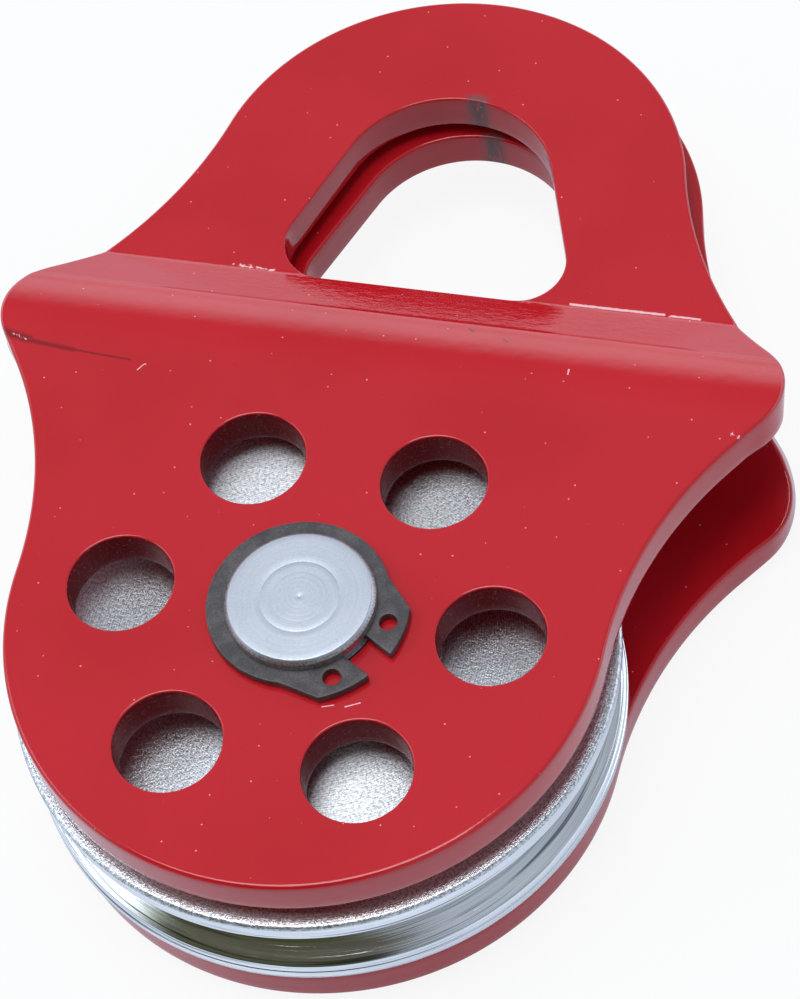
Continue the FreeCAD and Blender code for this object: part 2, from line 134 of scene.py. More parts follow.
def straight(start: Sequence[float], end: Sequence[float]) -> Points:
    """Points along a straight line, without its end."""
    count = max(2, int(np.linalg.norm(np.subtract(end, start)) / LINE_PITCH))
    return np.linspace(start, end, count, endpoint=False)


def rounded(corners: Sequence[Corner]) -> Points:
    """A closed path through corners, each with its own fillet.

    Args:
        corners: Place and fillet radius of each corner, in order.

    Returns:
        An array of points along the path.
    """
    path = []
    for index, (x, y, radius) in enumerate(corners):
        at = np.array([x, y])
        if not radius:
            path.append(at[None])
            continue
        before = np.array(corners[index - 1][:2]) - at
        after = np.array(corners[(index + 1) % len(corners)][:2]) - at
        before, after = before / np.linalg.norm(before), after / np.linalg.norm(after)
        half = math.acos(float(np.clip(before @ after, -1, 1))) / 2
        bisector = (before + after) / np.linalg.norm(before + after)
        centre = at + bisector * radius / math.sin(half)
        first, last = (at + side * radius / math.tan(half) - centre for side in (before, after))
        start, end = (math.degrees(math.atan2(v[1], v[0])) for v in (first, last))
        path.append(arc(centre, radius, start, start + (end - start + 180) % 360 - 180))
    return np.concatenate(path)


def respaced(path: Points, pitch: float) -> Points:
    """Spreads the points of a closed path evenly.

    Args:
        path: The path's points.
        pitch: Spacing to come close to.

    Returns:
        The new points.
    """
    closed = np.concatenate([path, path[:1]])
    run = np.concatenate([[0], np.cumsum(np.linalg.norm(np.diff(closed, axis=0), axis=1))])
    at = np.linspace(0, run[-1], max(8, round(run[-1] / pitch)), endpoint=False)
    return np.stack([np.interp(at, run, closed[:, axis]) for axis in (0, 1)], 1)


def densified(path: Points, pitch: float) -> Points:
    """Divides the long straights of a closed path.

    Args:
        path: The path's points.
        pitch: Widest spacing to leave.

    Returns:
        The old points and the new ones between them.
    """
    result = []
    for start, end in zip(path, np.roll(path, -1, axis=0)):
        count = max(1, math.ceil(np.linalg.norm(end - start) / pitch))
        result.append(start + (end - start) * np.linspace(0, 1, count, endpoint=False)[:, None])
    return np.concatenate(result)


def thinned(path: Points, pitch: float) -> Points:
    """Leaves out points that crowd the one before them.

    Args:
        path: The path's points.
        pitch: Closest spacing to keep.

    Returns:
        The points that are kept.
    """
    kept = [path[0]]
    for point in path[1:]:
        if np.linalg.norm(point - kept[-1]) >= pitch:
            kept.append(point)
    return np.array(kept)


def turned(path: Points, anticlockwise: bool) -> Points:
    """Runs a closed path in the asked direction.

    Args:
        path: The path's points.
        anticlockwise: Whether it is to run anticlockwise.

    Returns:
        The same points in that order.
    """
    x, y = path.T
    area = np.sum(x * np.roll(y, -1) - y * np.roll(x, -1))
    return path if (area > 0) == anticlockwise else path[::-1]


def inward(path: Points) -> Points:
    """Finds the normals to the left of a closed path.

    Args:
        path: The path's points.

    Returns:
        A unit normal for each point.
    """
    along = np.roll(path, -1, axis=0) - np.roll(path, 1, axis=0)
    along /= np.linalg.norm(along, axis=1)[:, None]
    return np.stack([-along[:, 1], along[:, 0]], 1)


def within(points: Points, loops: Sequence[Points]) -> np.ndarray:
    """Tells which points lie inside an odd number of closed loops.

    Args:
        points: The points to test.
        loops: The loops, in any direction.

    Returns:
        One truth value for each point.
    """
    batch = 4000
    inside = np.zeros(len(points), bool)
    for start in range(0, len(points), batch):
        x, y = points[start:start + batch].T[:, :, None]
        for loop in loops:
            ax, ay = loop.T
            bx, by = np.roll(loop, -1, axis=0).T
            crosses = (ay > y) != (by > y)
            reach = ax + (y - ay) * (bx - ax) / np.where(by == ay, 1e-12, by - ay)
            inside[start:start + batch] ^= np.sum(crosses & (x < reach), axis=1) % 2 == 1
    return inside


# Meshes and objects


def make_object(name: str, points: Points,
                faces: Sequence[Sequence[int]]) -> bpy.types.Object:
    """Makes a smooth-shaded mesh object from points in millimetres.

    Args:
        name: Name of the object.
        points: Vertex places.
        faces: Vertex numbers of each face.

    Returns:
        The object, linked to the scene.
    """
    mesh = bpy.data.meshes.new(name)
    mesh.from_pydata((np.asarray(points) * MM).tolist(), [], [list(face) for face in faces])
    piece = bpy.data.objects.new(name, mesh)
    bpy.context.collection.objects.link(piece)
    shade_smooth(piece, SHEET_SMOOTH)
    return piece


def shade_smooth(piece: bpy.types.Object, angle: float) -> None:
    """Shades a mesh smooth, with its sharper edges marked."""
    piece.data.polygons.foreach_set("use_smooth", [True] * len(piece.data.polygons))
    piece.data.set_sharp_from_angle(angle=math.radians(angle))


def vertex_places(mesh: bpy.types.Mesh) -> Points:
    """Reads a mesh's vertices.

    Args:
        mesh: The mesh.

    Returns:
        Their places in metres.
    """
    places = np.empty(len(mesh.vertices) * 3)
    mesh.vertices.foreach_get("co", places)
    return places.reshape(-1, 3)


def face_outwards(mesh: bpy.types.Mesh) -> None:
    """Turns a closed mesh right side out.

    Args:
        mesh: The mesh, changed in place.
    """
    mesh.calc_loop_triangles()
    corners = np.empty(len(mesh.loop_triangles) * 3, int)
    mesh.loop_triangles.foreach_get("vertices", corners)
    a, b, c = vertex_places(mesh)[corners.reshape(-1, 3)].transpose(1, 0, 2)
    if np.einsum("ij,ij->", a, np.cross(b, c)) < 0:
        mesh.flip_normals()


class Graph:
    """Adds nodes to a shader or geometry tree and wires them."""

    def __init__(self, tree: bpy.types.NodeTree) -> None:
        """Keeps the tree that the nodes go into."""
        self.tree = tree

    def add(self, kind: str, inputs: dict[Any, Any] | None = None,
            **settings: Any) -> bpy.types.Node:
        """Adds a node.

        Args:
            kind: Blender's identifier of the node type.
            inputs: Input name or number to a value, or to the socket that feeds it.
            settings: Properties of the node.

        Returns:
            The new node.
        """
        node = self.tree.nodes.new(kind)
        for key, setting in settings.items():
            setattr(node, key, setting)
        for key, given in (inputs or {}).items():
            if isinstance(given, Socket):
                self.tree.links.new(given, node.inputs[key])
            else:
                node.inputs[key].default_value = given
        return node

    def math(self, operation: str, *terms: Any) -> Socket:
        """Result of a math node."""
        node = self.add("ShaderNodeMath", dict(enumerate(terms)), operation=operation)
        return node.outputs[0]

    def total(self, *terms: Any) -> Socket:
        """Adds several terms up.

        Args:
            terms: Sockets or numbers.

        Returns:
            Their sum.
        """
        result = terms[0]
        for term in terms[1:]:
            result = self.math("ADD", result, term)
        return result

    def product(self, *terms: Any) -> Socket:
        """Multiplies several terms.

        Args:
            terms: Sockets or numbers.

        Returns:
            Their product.
        """
        result = terms[0]
        for term in terms[1:]:
            result = self.math("MULTIPLY", result, term)
        return result

    def length(self, x: Socket, y: Socket) -> Socket:
        """Length of a run with two parts."""
        return self.math("SQRT", self.total(self.product(x, x), self.product(y, y)))

    def vector(self, operation: str, first: Any, second: Any,
               output: str = "Vector") -> Socket:
        """Result of a vector math node."""
        node = self.add("ShaderNodeVectorMath", {0: first, 1: second}, operation=operation)
        return node.outputs[output]

    def ramp(self, factor: Socket, low: Any, high: Any,
             start: float = 0.0, end: float = 1.0) -> Socket:
        """Makes a smooth step.

        Args:
            factor: What the step follows.
            low: Factor at which it starts.
            high: Factor at which it ends.
            start: Value before it.
            end: Value after it.

        Returns:
            The value.
        """
        node = self.add("ShaderNodeMapRange", {
            "Value": factor, "From Min": low, "From Max": high, "To Min": start, "To Max": end},
            interpolation_type="SMOOTHSTEP")
        return node.outputs[0]

    def noise(self, place: Socket, scale: float, detail: float = 2.0,
              roughness: float = 0.5) -> Socket:
        """Makes a noise texture.

        Args:
            place: Where it is read.
            scale: Waves in a metre.
            detail: How many finer layers it has.
            roughness: How strong they are.

        Returns:
            Its value from 0 to 1.
        """
        node = self.add("ShaderNodeTexNoise", {
            "Vector": place, "Scale": scale, "Detail": detail, "Roughness": roughness})
        return node.outputs[0]

    def blend(self, factor: Any, first: Any, second: Any) -> Socket:
        """Mixes two colours.

        Args:
            factor: Share of the second.
            first: Colour at no share.
            second: Colour at full share.

        Returns:
            The mixed colour.
        """
        node = self.add("ShaderNodeMix", data_type="RGBA")
        for index, given in ((0, factor), (6, first), (7, second)):
            if isinstance(given, Socket):
                self.tree.links.new(given, node.inputs[index])
            else:
                node.inputs[index].default_value = given
        return node.outputs[2]

    def bump(self, height: Socket, strength: float, depth: float) -> Socket:
        """Normal of a surface with small relief of a depth in millimetres."""
        return self.add("ShaderNodeBump", {"Height": height, "Strength": strength,
                                           "Distance": depth * MM}).outputs[0]

    def place(self) -> Socket:
        """Place on the piece, in metres."""
        return self.add("ShaderNodeTexCoord").outputs["Object"]

    def split(self, vector: Socket) -> list[Socket]:
        """The three parts of a vector."""
        return list(self.add("ShaderNodeSeparateXYZ", {0: vector}).outputs)

    def joined(self, x: Any, y: Any, z: Any) -> Socket:
        """A vector from three parts."""
        return self.add("ShaderNodeCombineXYZ", {0: x, 1: y, 2: z}).outputs[0]


class GeometryTree(Graph):
    """A geometry node tree with named inputs, run once on a piece."""

    def __init__(self, name: str, sizes: dict[str, float | int]) -> None:
        """Starts a tree.

        Args:
            name: Name of the tree.
            sizes: Named inputs with their values; whole numbers become whole-number inputs.
        """
        super().__init__(bpy.data.node_groups.new(name, "GeometryNodeTree"))
        face = self.tree.interface
        face.new_socket("Geometry", in_out="INPUT", socket_type="NodeSocketGeometry")
        face.new_socket("Geometry", in_out="OUTPUT", socket_type="NodeSocketGeometry")
        self.sizes = sizes
        for label, size in sizes.items():
            kind = "NodeSocketInt" if isinstance(size, int) else "NodeSocketFloat"
            face.new_socket(label, in_out="INPUT", socket_type=kind)
        self.given = self.add("NodeGroupInput").outputs

    def finish(self, shape: Socket, material: bpy.types.Material) -> None:
        """Ends the tree in real geometry with its material.

        Args:
            shape: The geometry that is made.
            material: Its finish.
        """
        whole = self.add("GeometryNodeRealizeInstances", {0: shape})
        dressed = self.add("GeometryNodeSetMaterial",
                           {"Geometry": whole.outputs[0], "Material": material})
        self.add("NodeGroupOutput", {0: dressed.outputs[0]})

    def run(self, piece: bpy.types.Object, name: str) -> bpy.types.Object:
        """Applies the tree to a piece.

        Args:
            piece: Object that the tree starts from; it is removed.
            name: Name of the result.

        Returns:
            A plain mesh object.
        """
        modifier = piece.modifiers.new(name, "NODES")
        modifier.node_group = self.tree
        for item in self.tree.interface.items_tree:
            if item.in_out == "INPUT" and item.name in self.sizes:
                modifier[item.identifier] = self.sizes[item.name]
        graph = bpy.context.evaluated_depsgraph_get()
        mesh = bpy.data.meshes.new_from_object(piece.evaluated_get(graph))
        mesh.name = name
        bpy.data.objects.remove(piece)
        made = bpy.data.objects.new(name, mesh)
        bpy.context.collection.objects.link(made)
        return made


# Finishes


def new_material(name: str) -> tuple[bpy.types.Material, Graph, bpy.types.Node]:
    """Starts a material.

    Args:
        name: Name of the material.

    Returns:
        The material, its graph and its shader.
    """
    material = bpy.data.materials.new(name)
    material.use_nodes = True
    tree = material.node_tree
    return material, Graph(tree), tree.nodes["Principled BSDF"]


def wire(graph: Graph, shader: bpy.types.Node, **sockets: Any) -> None:
    """Feeds or sets the shader's inputs.

    Args:
        graph: The material's graph.
        shader: Its shader.
        sockets: Input names, with underscores for spaces, to sockets or values.
    """
    for key, given in sockets.items():
        socket = shader.inputs[key.replace("_", " ")]
        if isinstance(given, Socket):
            graph.tree.links.new(given, socket)
        else:
            socket.default_value = given


def outward(graph: Graph, x: Socket, y: Socket) -> Socket:
    """Finds the way that turned marks spread a reflection.

    Args:
        graph: The material's graph.
        x: Place across the plates.
        y: Place up the plates.

    Returns:
        Direction away from the axle.
    """
    turned_by = graph.add("ShaderNodeVectorTransform", {0: graph.joined(x, y, 0.0)},
                          vector_type="VECTOR", convert_from="OBJECT", convert_to="WORLD")
    return turned_by.outputs[0]


class MarkKind(Enum):
    """Kinds of small marks in the coat: chips, scratches, a painted highlight strip and painted
    crease shade.
    """

    CHIP = "chip"
    # Scratches, and a pale painted highlight strip along a crease
    SCRATCH_AND_HIGHLIGHT = "scratch_and_highlight"
    # Painted shade: dark lines along the bend's creases
    SAG = "sag"


@dataclass(frozen=True)
class Mark:
    """A short straight mark on a plate's outer face, in millimetres from the axle."""

    kind: MarkKind
    start: tuple[float, float]
    end: tuple[float, float]
    width: float


@dataclass(frozen=True)
class MarkEdge:
    """How a kind of mark ends: where it has faded out, where it is full and how ragged it is."""

    fades_at: float
    full_at: float
    ragged: float


FRONT_MARKS = (
    Mark(MarkKind.CHIP, (-34.0, 74.3), (-26.2, 74.0), 0.45),
    Mark(MarkKind.CHIP, (-64.6, 46.2), (-61.6, 45.3), 0.30),
    Mark(MarkKind.CHIP, (62.6, 44.0), (64.2, 43.7), 0.50),
    Mark(MarkKind.CHIP, (46.2, 74.0), (47.0, 74.2), 0.30),
    # Painted highlight: the next two marks are a pale strip along the crease right of the eye
    Mark(MarkKind.SCRATCH_AND_HIGHLIGHT, (28.6, 74.2), (45.2, 74.3), 0.30),
    Mark(MarkKind.SCRATCH_AND_HIGHLIGHT, (46.6, 74.2), (51.6, 74.2), 0.24),
    Mark(MarkKind.SCRATCH_AND_HIGHLIGHT, (-40.5, 41.9), (-39.6, 43.3), 0.10),
    Mark(MarkKind.SCRATCH_AND_HIGHLIGHT, (33.3, 52.5), (33.2, 53.7), 0.14),
    Mark(MarkKind.SCRATCH_AND_HIGHLIGHT, (7.5, -17.1), (9.3, -16.5), 0.10),
    Mark(MarkKind.SCRATCH_AND_HIGHLIGHT, (11.2, -16.5), (13.4, -15.4), 0.10),
    # Painted shade: dark lines along the bend's creases, widest at the left ear
    Mark(MarkKind.SAG, (-69.5, 47.0), (-61.5, 45.4), 0.70),
    Mark(MarkKind.SAG, (-61.5, 45.2), (-53.0, 44.4), 0.38),
    Mark(MarkKind.SAG, (-53.0, 44.4), (-42.3, 43.8), 0.17),
    Mark(MarkKind.SAG, (13.9, 61.4), (14.7, 60.8), 0.22),
    Mark(MarkKind.SAG, (20.4, 59.6), (21.2, 59.0), 0.18),
)

# Listed in the order in which they lie over each other
MARK_EDGES = {
    MarkKind.SAG: MarkEdge(1.2, 0.45, 0.5),
    MarkKind.SCRATCH_AND_HIGHLIGHT: MarkEdge(0.9, 0.45, 0.7),
    MarkKind.CHIP: MarkEdge(0.45, 0.315, 3.2),
}


@dataclass(frozen=True)
class PowderCoat:
    """Glossy red powder coat: ripple, dust specks, small damage, a grey scuff in the eye, painted
    shade on the hole walls and crease lines, and a painted highlight strip.

    The scuff's two numbers are its middle across the plate and the height of the eye's crown.
    """

    name: str
    scuff: tuple[float, float]
    marks: tuple[Mark, ...] = ()
    colour: Colour = (0.500, 0.010, 0.018, 1.0)
    deep: Colour = (0.465, 0.007, 0.013, 1.0)
    scuff_colour: Colour = (0.095, 0.075, 0.082, 1.0)
    nick_colour: Colour = (0.55, 0.53, 0.54, 1.0)
    # Pale colour of chips, scratches and the painted highlight strip
    bare_and_highlight_colour: Colour = (0.84, 0.50, 0.52, 1.0)
    # Painted shade: the dark red of the crease lines
    crease_shade_colour: Colour = (0.24, 0.004, 0.008, 1.0)
    # Painted shade on the hole walls
    hole_shade_colour: Colour = (0.160, 0.008, 0.014, 1.0)
    grain_colour: Colour = (0.50, 0.26, 0.30, 1.0)
    speck_colour: Colour = (0.80, 0.34, 0.36, 1.0)
    scuff_half: float = 3.3
    speck_pitch: float = 5.6
    speck_from: float = 0.45
    speck_size: float = 0.028
    hole_circle: float = 31.5
    hole_reach: float = 9.5
    bore_reach: float = 13.0
    stretch_foot: tuple[float, float] = (60.0, 66.0)
    stretch_head: tuple[float, float] = (75.5, 73.5)
    gloss: tuple[float, float] = (0.07, 0.13)
    relief: float = 0.4
    relief_strength: float = 0.12
    refraction: float = 1.48
    shine: float = 0.5
    hole_shine: float = 0.03

    def rubbed(self, graph: Graph, place: Socket, upright: Socket) -> Socket:
        """Finds how much a shackle has rubbed: a band down the top wall of the eye.

        Args:
            graph: The material's graph.
            place: Place on the plate.
            upright: One on walls, nought on level faces.

        Returns:
            A share from 0 to 1.
        """
        x, y, z = graph.split(place)
        middle, crown = metres(*self.scuff)
        off = graph.math("ABSOLUTE", graph.math("SUBTRACT", x, middle))
        above = graph.math("SUBTRACT", y, crown)
        band = graph.product(graph.ramp(off, *metres(self.scuff_half, 0.15 * self.scuff_half)),
                             graph.ramp(above, *metres(-4.0, -2.0)))
        edge = graph.ramp(above, *metres(2.2, 0.4), 0.0, 0.8)
        wall = graph.product(upright, graph.ramp(above, *metres(4.0, 2.0)))
        streak = graph.noise(graph.joined(x, y, graph.product(z, 0.25)), 1100.0, 3.0, 0.7)
        return graph.product(band, graph.math("MAXIMUM", wall, edge),
                             graph.ramp(streak, 0.30, 0.52))

    def nearest(self, graph: Graph, flat: Socket, kind: MarkKind) -> Socket | None:
        """Measures the way to the nearest mark of a kind.

        Args:
            graph: The material's graph.
            flat: Place on the plate, seen from above.
            kind: Kind of mark.

        Returns:
            The distance in the mark's own widths, or None without such a mark.
        """
        nearest = None
        for mark in self.marks:
            if mark.kind is not kind:
                continue
            start = Vector((*mark.start, 0.0)) * MM
            run = Vector((*mark.end, 0.0)) * MM - start
            off = graph.vector("SUBTRACT", flat, start[:])
            along = graph.vector("DOT_PRODUCT", off, (run / run.length_squared)[:], "Value")
            held = graph.add("ShaderNodeClamp", {0: along, 1: 0.0, 2: 1.0}).outputs[0]
            foot = graph.add("ShaderNodeVectorMath", {0: run[:], "Scale": held},
                             operation="SCALE").outputs[0]
            away = graph.vector("DISTANCE", off, foot, "Value")
            widths = graph.math("DIVIDE", away, mark.width * MM)
            nearest = widths if nearest is None else graph.math("MINIMUM", nearest, widths)
        return nearest

    def in_hole(self, graph: Graph, x: Socket, y: Socket) -> Socket:
        """Tells the walls of the six round holes and the bore from all else.

        Args:
            graph: The material's graph.
            x: Place across the plate.
            y: Place up the plate.

        Returns:
            One in a hole, nought elsewhere.
        """
        radius = graph.length(x, y)
        turn = graph.math("ARCTAN2", y, x)
        sixth = math.radians(60)
        whole = graph.math("ROUND", graph.math("DIVIDE", turn, sixth))
        folded = graph.math("SUBTRACT", turn, graph.product(whole, sixth))
        side = graph.math("SUBTRACT", graph.product(radius, graph.math("COSINE", folded)),
                          self.hole_circle * MM)
        rise = graph.product(radius, graph.math("SINE", folded))
        away = graph.length(side, rise)
        return graph.math("MAXIMUM", graph.math("LESS_THAN", away, self.hole_reach * MM),
                          graph.math("LESS_THAN", radius, self.bore_reach * MM))

    def dusted(self, graph: Graph, place: Socket, upright: Socket, colour: Socket) -> Socket:
        """Lays dust specks into the coat on level faces.

        Args:
            graph: The material's graph.
            place: Place on the plate.
            upright: One on walls, nought on level faces.
            colour: Colour of the clean coat.

        Returns:
            The colour with its specks.
        """
        dust = graph.add("ShaderNodeTexVoronoi", {
            "Vector": place, "Scale": 1 / (self.speck_pitch * MM)}, voronoi_dimensions="2D")
        lot = graph.split(dust.outputs["Color"])[0]
        size = graph.ramp(lot, self.speck_from, 1.0, 0.0, self.speck_size)
        speck = graph.math("LESS_THAN", dust.outputs["Distance"], size)
        level = graph.math("SUBTRACT", 1.0, upright)
        return graph.blend(graph.product(speck, level, 0.9), colour, self.speck_colour)

    def damaged(self, graph: Graph, place: Socket, upper: Socket,
                colour: Socket) -> tuple[Socket, Socket | float]:
        """Lays painted crease shade, scratches, a painted highlight strip and chips over the coat.

        Args:
            graph: The material's graph.
            place: Place on the plate.
            upper: One on faces that look up, nought elsewhere.
            colour: Colour of the sound coat.

        Returns:
            The marked colour, and how far the coat is off at each place.
        """
        x, y, _ = graph.split(place)
        flat = graph.joined(x, y, 0.0)
        wobble = graph.noise(place, 1300.0, 3.0, 0.7)
        bare_and_highlight: Socket | float = 0.0
        for kind, edge in MARK_EDGES.items():
            widths = self.nearest(graph, flat, kind)
            if widths is None:
                continue
            rough_edge = graph.total(graph.product(widths, 0.5),
                                     graph.product(wobble, edge.ragged),
                                     -0.5 * edge.ragged + 0.25)
            shown = graph.product(graph.ramp(rough_edge, edge.fades_at, edge.full_at), upper)
            # Crease shade is painted as a dark red; chips, scratches and the painted highlight
            # strip as a pale colour
            if kind is MarkKind.SAG:
                colour = graph.blend(shown, colour, self.crease_shade_colour)
            else:
                colour = graph.blend(shown, colour, self.bare_and_highlight_colour)
                bare_and_highlight = graph.math("MAXIMUM", bare_and_highlight, shown)
        return colour, bare_and_highlight

    def peel(self, graph: Graph, place: Socket) -> Socket:
        """Makes the orange peel, stronger where the sheet was stretched over the slope.

        Args:
            graph: The material's graph.
            place: Place on the plate.

        Returns:
            Its height.
        """
        x, y, _ = graph.split(place)
        stretched = graph.product(graph.ramp(y, *metres(*self.stretch_foot)),
                                  graph.ramp(y, *metres(*self.stretch_head)))
        drawn = graph.noise(graph.joined(graph.product(x, 0.45), y, 0.0), 900.0, 3.0, 0.6)
        return graph.total(graph.product(graph.noise(place, 330.0, 2.0), 0.6),
                           graph.product(graph.noise(place, 1500.0, 1.0), 0.08),
                           graph.product(drawn, stretched, 1.2))

    def make(self) -> bpy.types.Material:
        """Builds the material.

        Returns:
            The coat of one plate.
        """
        material, graph, shader = new_material(self.name)
        place = graph.place()
        x, y, _ = graph.split(place)
        facing = graph.split(graph.add("ShaderNodeNewGeometry").outputs["Normal"])[2]
        upright = graph.ramp(graph.math("ABSOLUTE", facing), 0.75, 0.45)
        upper = graph.ramp(facing, 0.5, 0.8)
        colour = graph.blend(graph.ramp(graph.noise(place, 30.0, 3.0), 0.35, 0.7),
                             self.colour, self.deep)
        # Painted shade on the hole walls: a darker red, with pale flecks of steel grain
        hole = graph.product(self.in_hole(graph, x, y), upright)
        fleck = graph.ramp(graph.noise(place, 2000.0, 3.0, 0.8), 0.57, 0.68)
        hole_shade = graph.blend(graph.product(fleck, 0.6), self.hole_shade_colour, self.grain_colour)
        colour = graph.blend(graph.product(hole, 0.9), colour, hole_shade)
        colour = self.dusted(graph, place, upright, colour)
        colour, bare_and_highlight = self.damaged(graph, place, upper, colour)
        rubbed = self.rubbed(graph, place, upright)
        nicked = graph.product(
            graph.ramp(graph.noise(place, 1700.0, 2.0, 0.8), 0.66, 0.70), rubbed)
        scuffed = graph.blend(nicked, self.scuff_colour, self.nick_colour)
        height = graph.total(self.peel(graph, place), graph.product(bare_and_highlight, -0.6),
                             graph.product(fleck, hole))
        dullness = graph.total(
            graph.ramp(graph.noise(place, 60.0, 3.0), 0.3, 0.75, *self.gloss),
            graph.product(rubbed, 0.35), graph.product(bare_and_highlight, 0.35), graph.product(hole, 0.12))
        wire(graph, shader, Base_Color=graph.blend(rubbed, colour, scuffed),
             Roughness=dullness, IOR=self.refraction,
             Normal=graph.bump(height, self.relief_strength, self.relief),
             Specular_IOR_Level=graph.ramp(hole, 0.0, 1.0, self.shine, self.hole_shine))
        return material


@dataclass(frozen=True)
class TurnedZinc:
    """Bright zinc plating over a turned face: fine rings, grain, a cool tint and a worn rim."""

    name: str
    bright: Colour = (0.53, 0.57, 0.64, 1.0)
    dull: Colour = (0.44, 0.48, 0.54, 1.0)
    worn_colour: Colour = (0.30, 0.25, 0.20, 1.0)
    rough: tuple[float, float] = (0.50, 0.40)
    spread: float = 0.1
    ring_pitch: float = 0.5
    ring_wander: float = 0.6
    ring_depth: float = 0.03
    grain_scale: float = 2600.0
    grain_depth: float = 0.16
    streak_depth: float = 0.15
    relief: float = 0.1
    relief_strength: float = 0.35
    worn_from: float = 11.9
    worn_way: float = 0.35

    def make(self) -> bpy.types.Material:
        """Builds the material.

        Returns:
            The finish of the axle and the washers.
        """
        material, graph, shader = new_material(self.name)
        place = graph.place()
        x, y, z = graph.split(place)
        radius = graph.length(x, y)
        wander = graph.product(graph.noise(place, 40.0, 2.0), self.ring_wander * MM)
        rings = graph.math("SINE", graph.product(graph.total(radius, z, wander),
                                                 2 * math.pi / (self.ring_pitch * MM)))
        streak = graph.noise(graph.joined(graph.product(radius, 40.0), graph.product(z, 40.0),
                                          0.0), 60.0, 3.0)
        grain = graph.noise(place, self.grain_scale, 4.0, 0.7)
        cloud = graph.noise(place, 110.0, 4.0, 0.6)
        tone = graph.total(graph.product(grain, 0.45), graph.product(cloud, 0.35),
                           graph.product(streak, 0.2))
        colour = graph.blend(graph.ramp(tone, 0.38, 0.6), self.dull, self.bright)
        worn = graph.ramp(radius, *metres(self.worn_from, self.worn_from + self.worn_way))
        colour = graph.blend(graph.product(worn, graph.ramp(grain, 0.4, 0.6)), colour,
                             self.worn_colour)
        height = graph.total(graph.product(rings, self.ring_depth),
                             graph.product(grain, self.grain_depth),
                             graph.product(streak, self.streak_depth))
        wire(graph, shader, Base_Color=colour, Metallic=1.0,
             Normal=graph.bump(height, self.relief_strength, self.relief),
             Roughness=graph.ramp(tone, 0.35, 0.65, *self.rough),
             Anisotropic=self.spread, Tangent=outward(graph, x, y))
        return material


@dataclass(frozen=True)
class WheelZinc:
    """Zinc on the sheave: a polished groove, satin lands, a grainy turned side and painted shade
    on the side's outer ring.
    """

    name: str
    middle: float
    half: float
    rim: float
    bright: Colour = (0.90, 0.95, 1.0, 1.0)
    dull: Colour = (0.16, 0.17, 0.20, 1.0)
    # Painted shade on the side's outer ring, beside the plates
    rim_painted_shade: Colour = (0.10, 0.09, 0.11, 1.0)
    polished: Colour = (0.88, 0.91, 0.94, 1.0)
    satin: Colour = (0.74, 0.78, 0.83, 1.0)
    line_colour: Colour = (0.20, 0.22, 0.26, 1.0)
    feed: float = 0.42
    side_from: tuple[float, float] = (0.9, 0.5)
    outskirt_from: tuple[float, float] = (3.5, 1.5)
    groove_rough: tuple[float, float] = (0.10, 0.19)
    side_rough: float = 0.25
    outskirt_rough: float = -0.12
    side_spread: float = 0.8
    relief: float = 0.1
    relief_strength: float = 0.6

    def make(self) -> bpy.types.Material:
        """Builds the material.

        Returns:
            The sheave's finish.
        """
        material, graph, shader = new_material(self.name)
        place = graph.place()
        x, y, z = graph.split(place)
        radius = graph.length(x, y)
        bearing = graph.math("ARCTAN2", y, x)

        def drawn(close: float, around: float, *texture: float) -> Socket:
            """Noise drawn out along the way round the wheel."""
            return graph.noise(graph.joined(
                graph.product(radius, close), graph.product(z, close),
                graph.product(bearing, around)), *texture)

        off = graph.math("ABSOLUTE", graph.math("SUBTRACT", z, self.middle * MM))
        side = graph.ramp(off, *metres(*(self.half - way for way in self.side_from)))
        groove = graph.math("SUBTRACT", 1.0, side)
        outskirt = graph.product(side, graph.ramp(
            radius, *metres(*(self.rim - way for way in self.outskirt_from))))
        # Fine marks that run round the wheel, on its side and in its groove
        round_marks = drawn(9000.0, 2.5, 0.5, 3.0, 0.6)
        sweep = drawn(400.0, 1.5, 1.0, 2.0)
        lines = drawn(2600.0, 2.2, 0.6, 2.0, 0.6)
        grain = graph.noise(place, 1900.0, 3.0, 0.8)
        turning = graph.math("SINE", graph.product(radius, 2 * math.pi / (self.feed * MM)))
        tone = graph.total(graph.product(graph.ramp(grain, 0.34, 0.62), 0.6), 0.1,
                           graph.product(turning, 0.12), graph.product(round_marks, 0.35))
        # The side's outer ring is painted darker as shade, and is smoother
        side_colour = graph.blend(tone, graph.blend(outskirt, self.dull, self.rim_painted_shade),
                                  self.bright)
        groove_colour = graph.blend(graph.ramp(sweep, 0.3, 0.7), self.satin, self.polished)
        groove_colour = graph.blend(graph.ramp(lines, 0.42, 0.30), groove_colour,
                                    self.line_colour)
        rough = graph.total(graph.product(side, self.side_rough),
                            graph.product(outskirt, self.outskirt_rough),
                            graph.ramp(sweep, 0.3, 0.7, *self.groove_rough))
        height = graph.total(
            graph.product(grain, graph.ramp(groove, 0.0, 1.0, 1.4, 0.03)),
            graph.product(lines, graph.ramp(groove, 0.0, 1.0, 0.0, 1.6)),
            graph.product(round_marks, graph.ramp(groove, 0.0, 1.0, 0.2, 0.35)))
        wire(graph, shader, Base_Color=graph.blend(groove, side_colour, groove_colour),
             Metallic=1.0, Roughness=rough,
             Normal=graph.bump(height, self.relief_strength, self.relief),
             Anisotropic=graph.product(side, self.side_spread), Tangent=outward(graph, x, y))
        return material


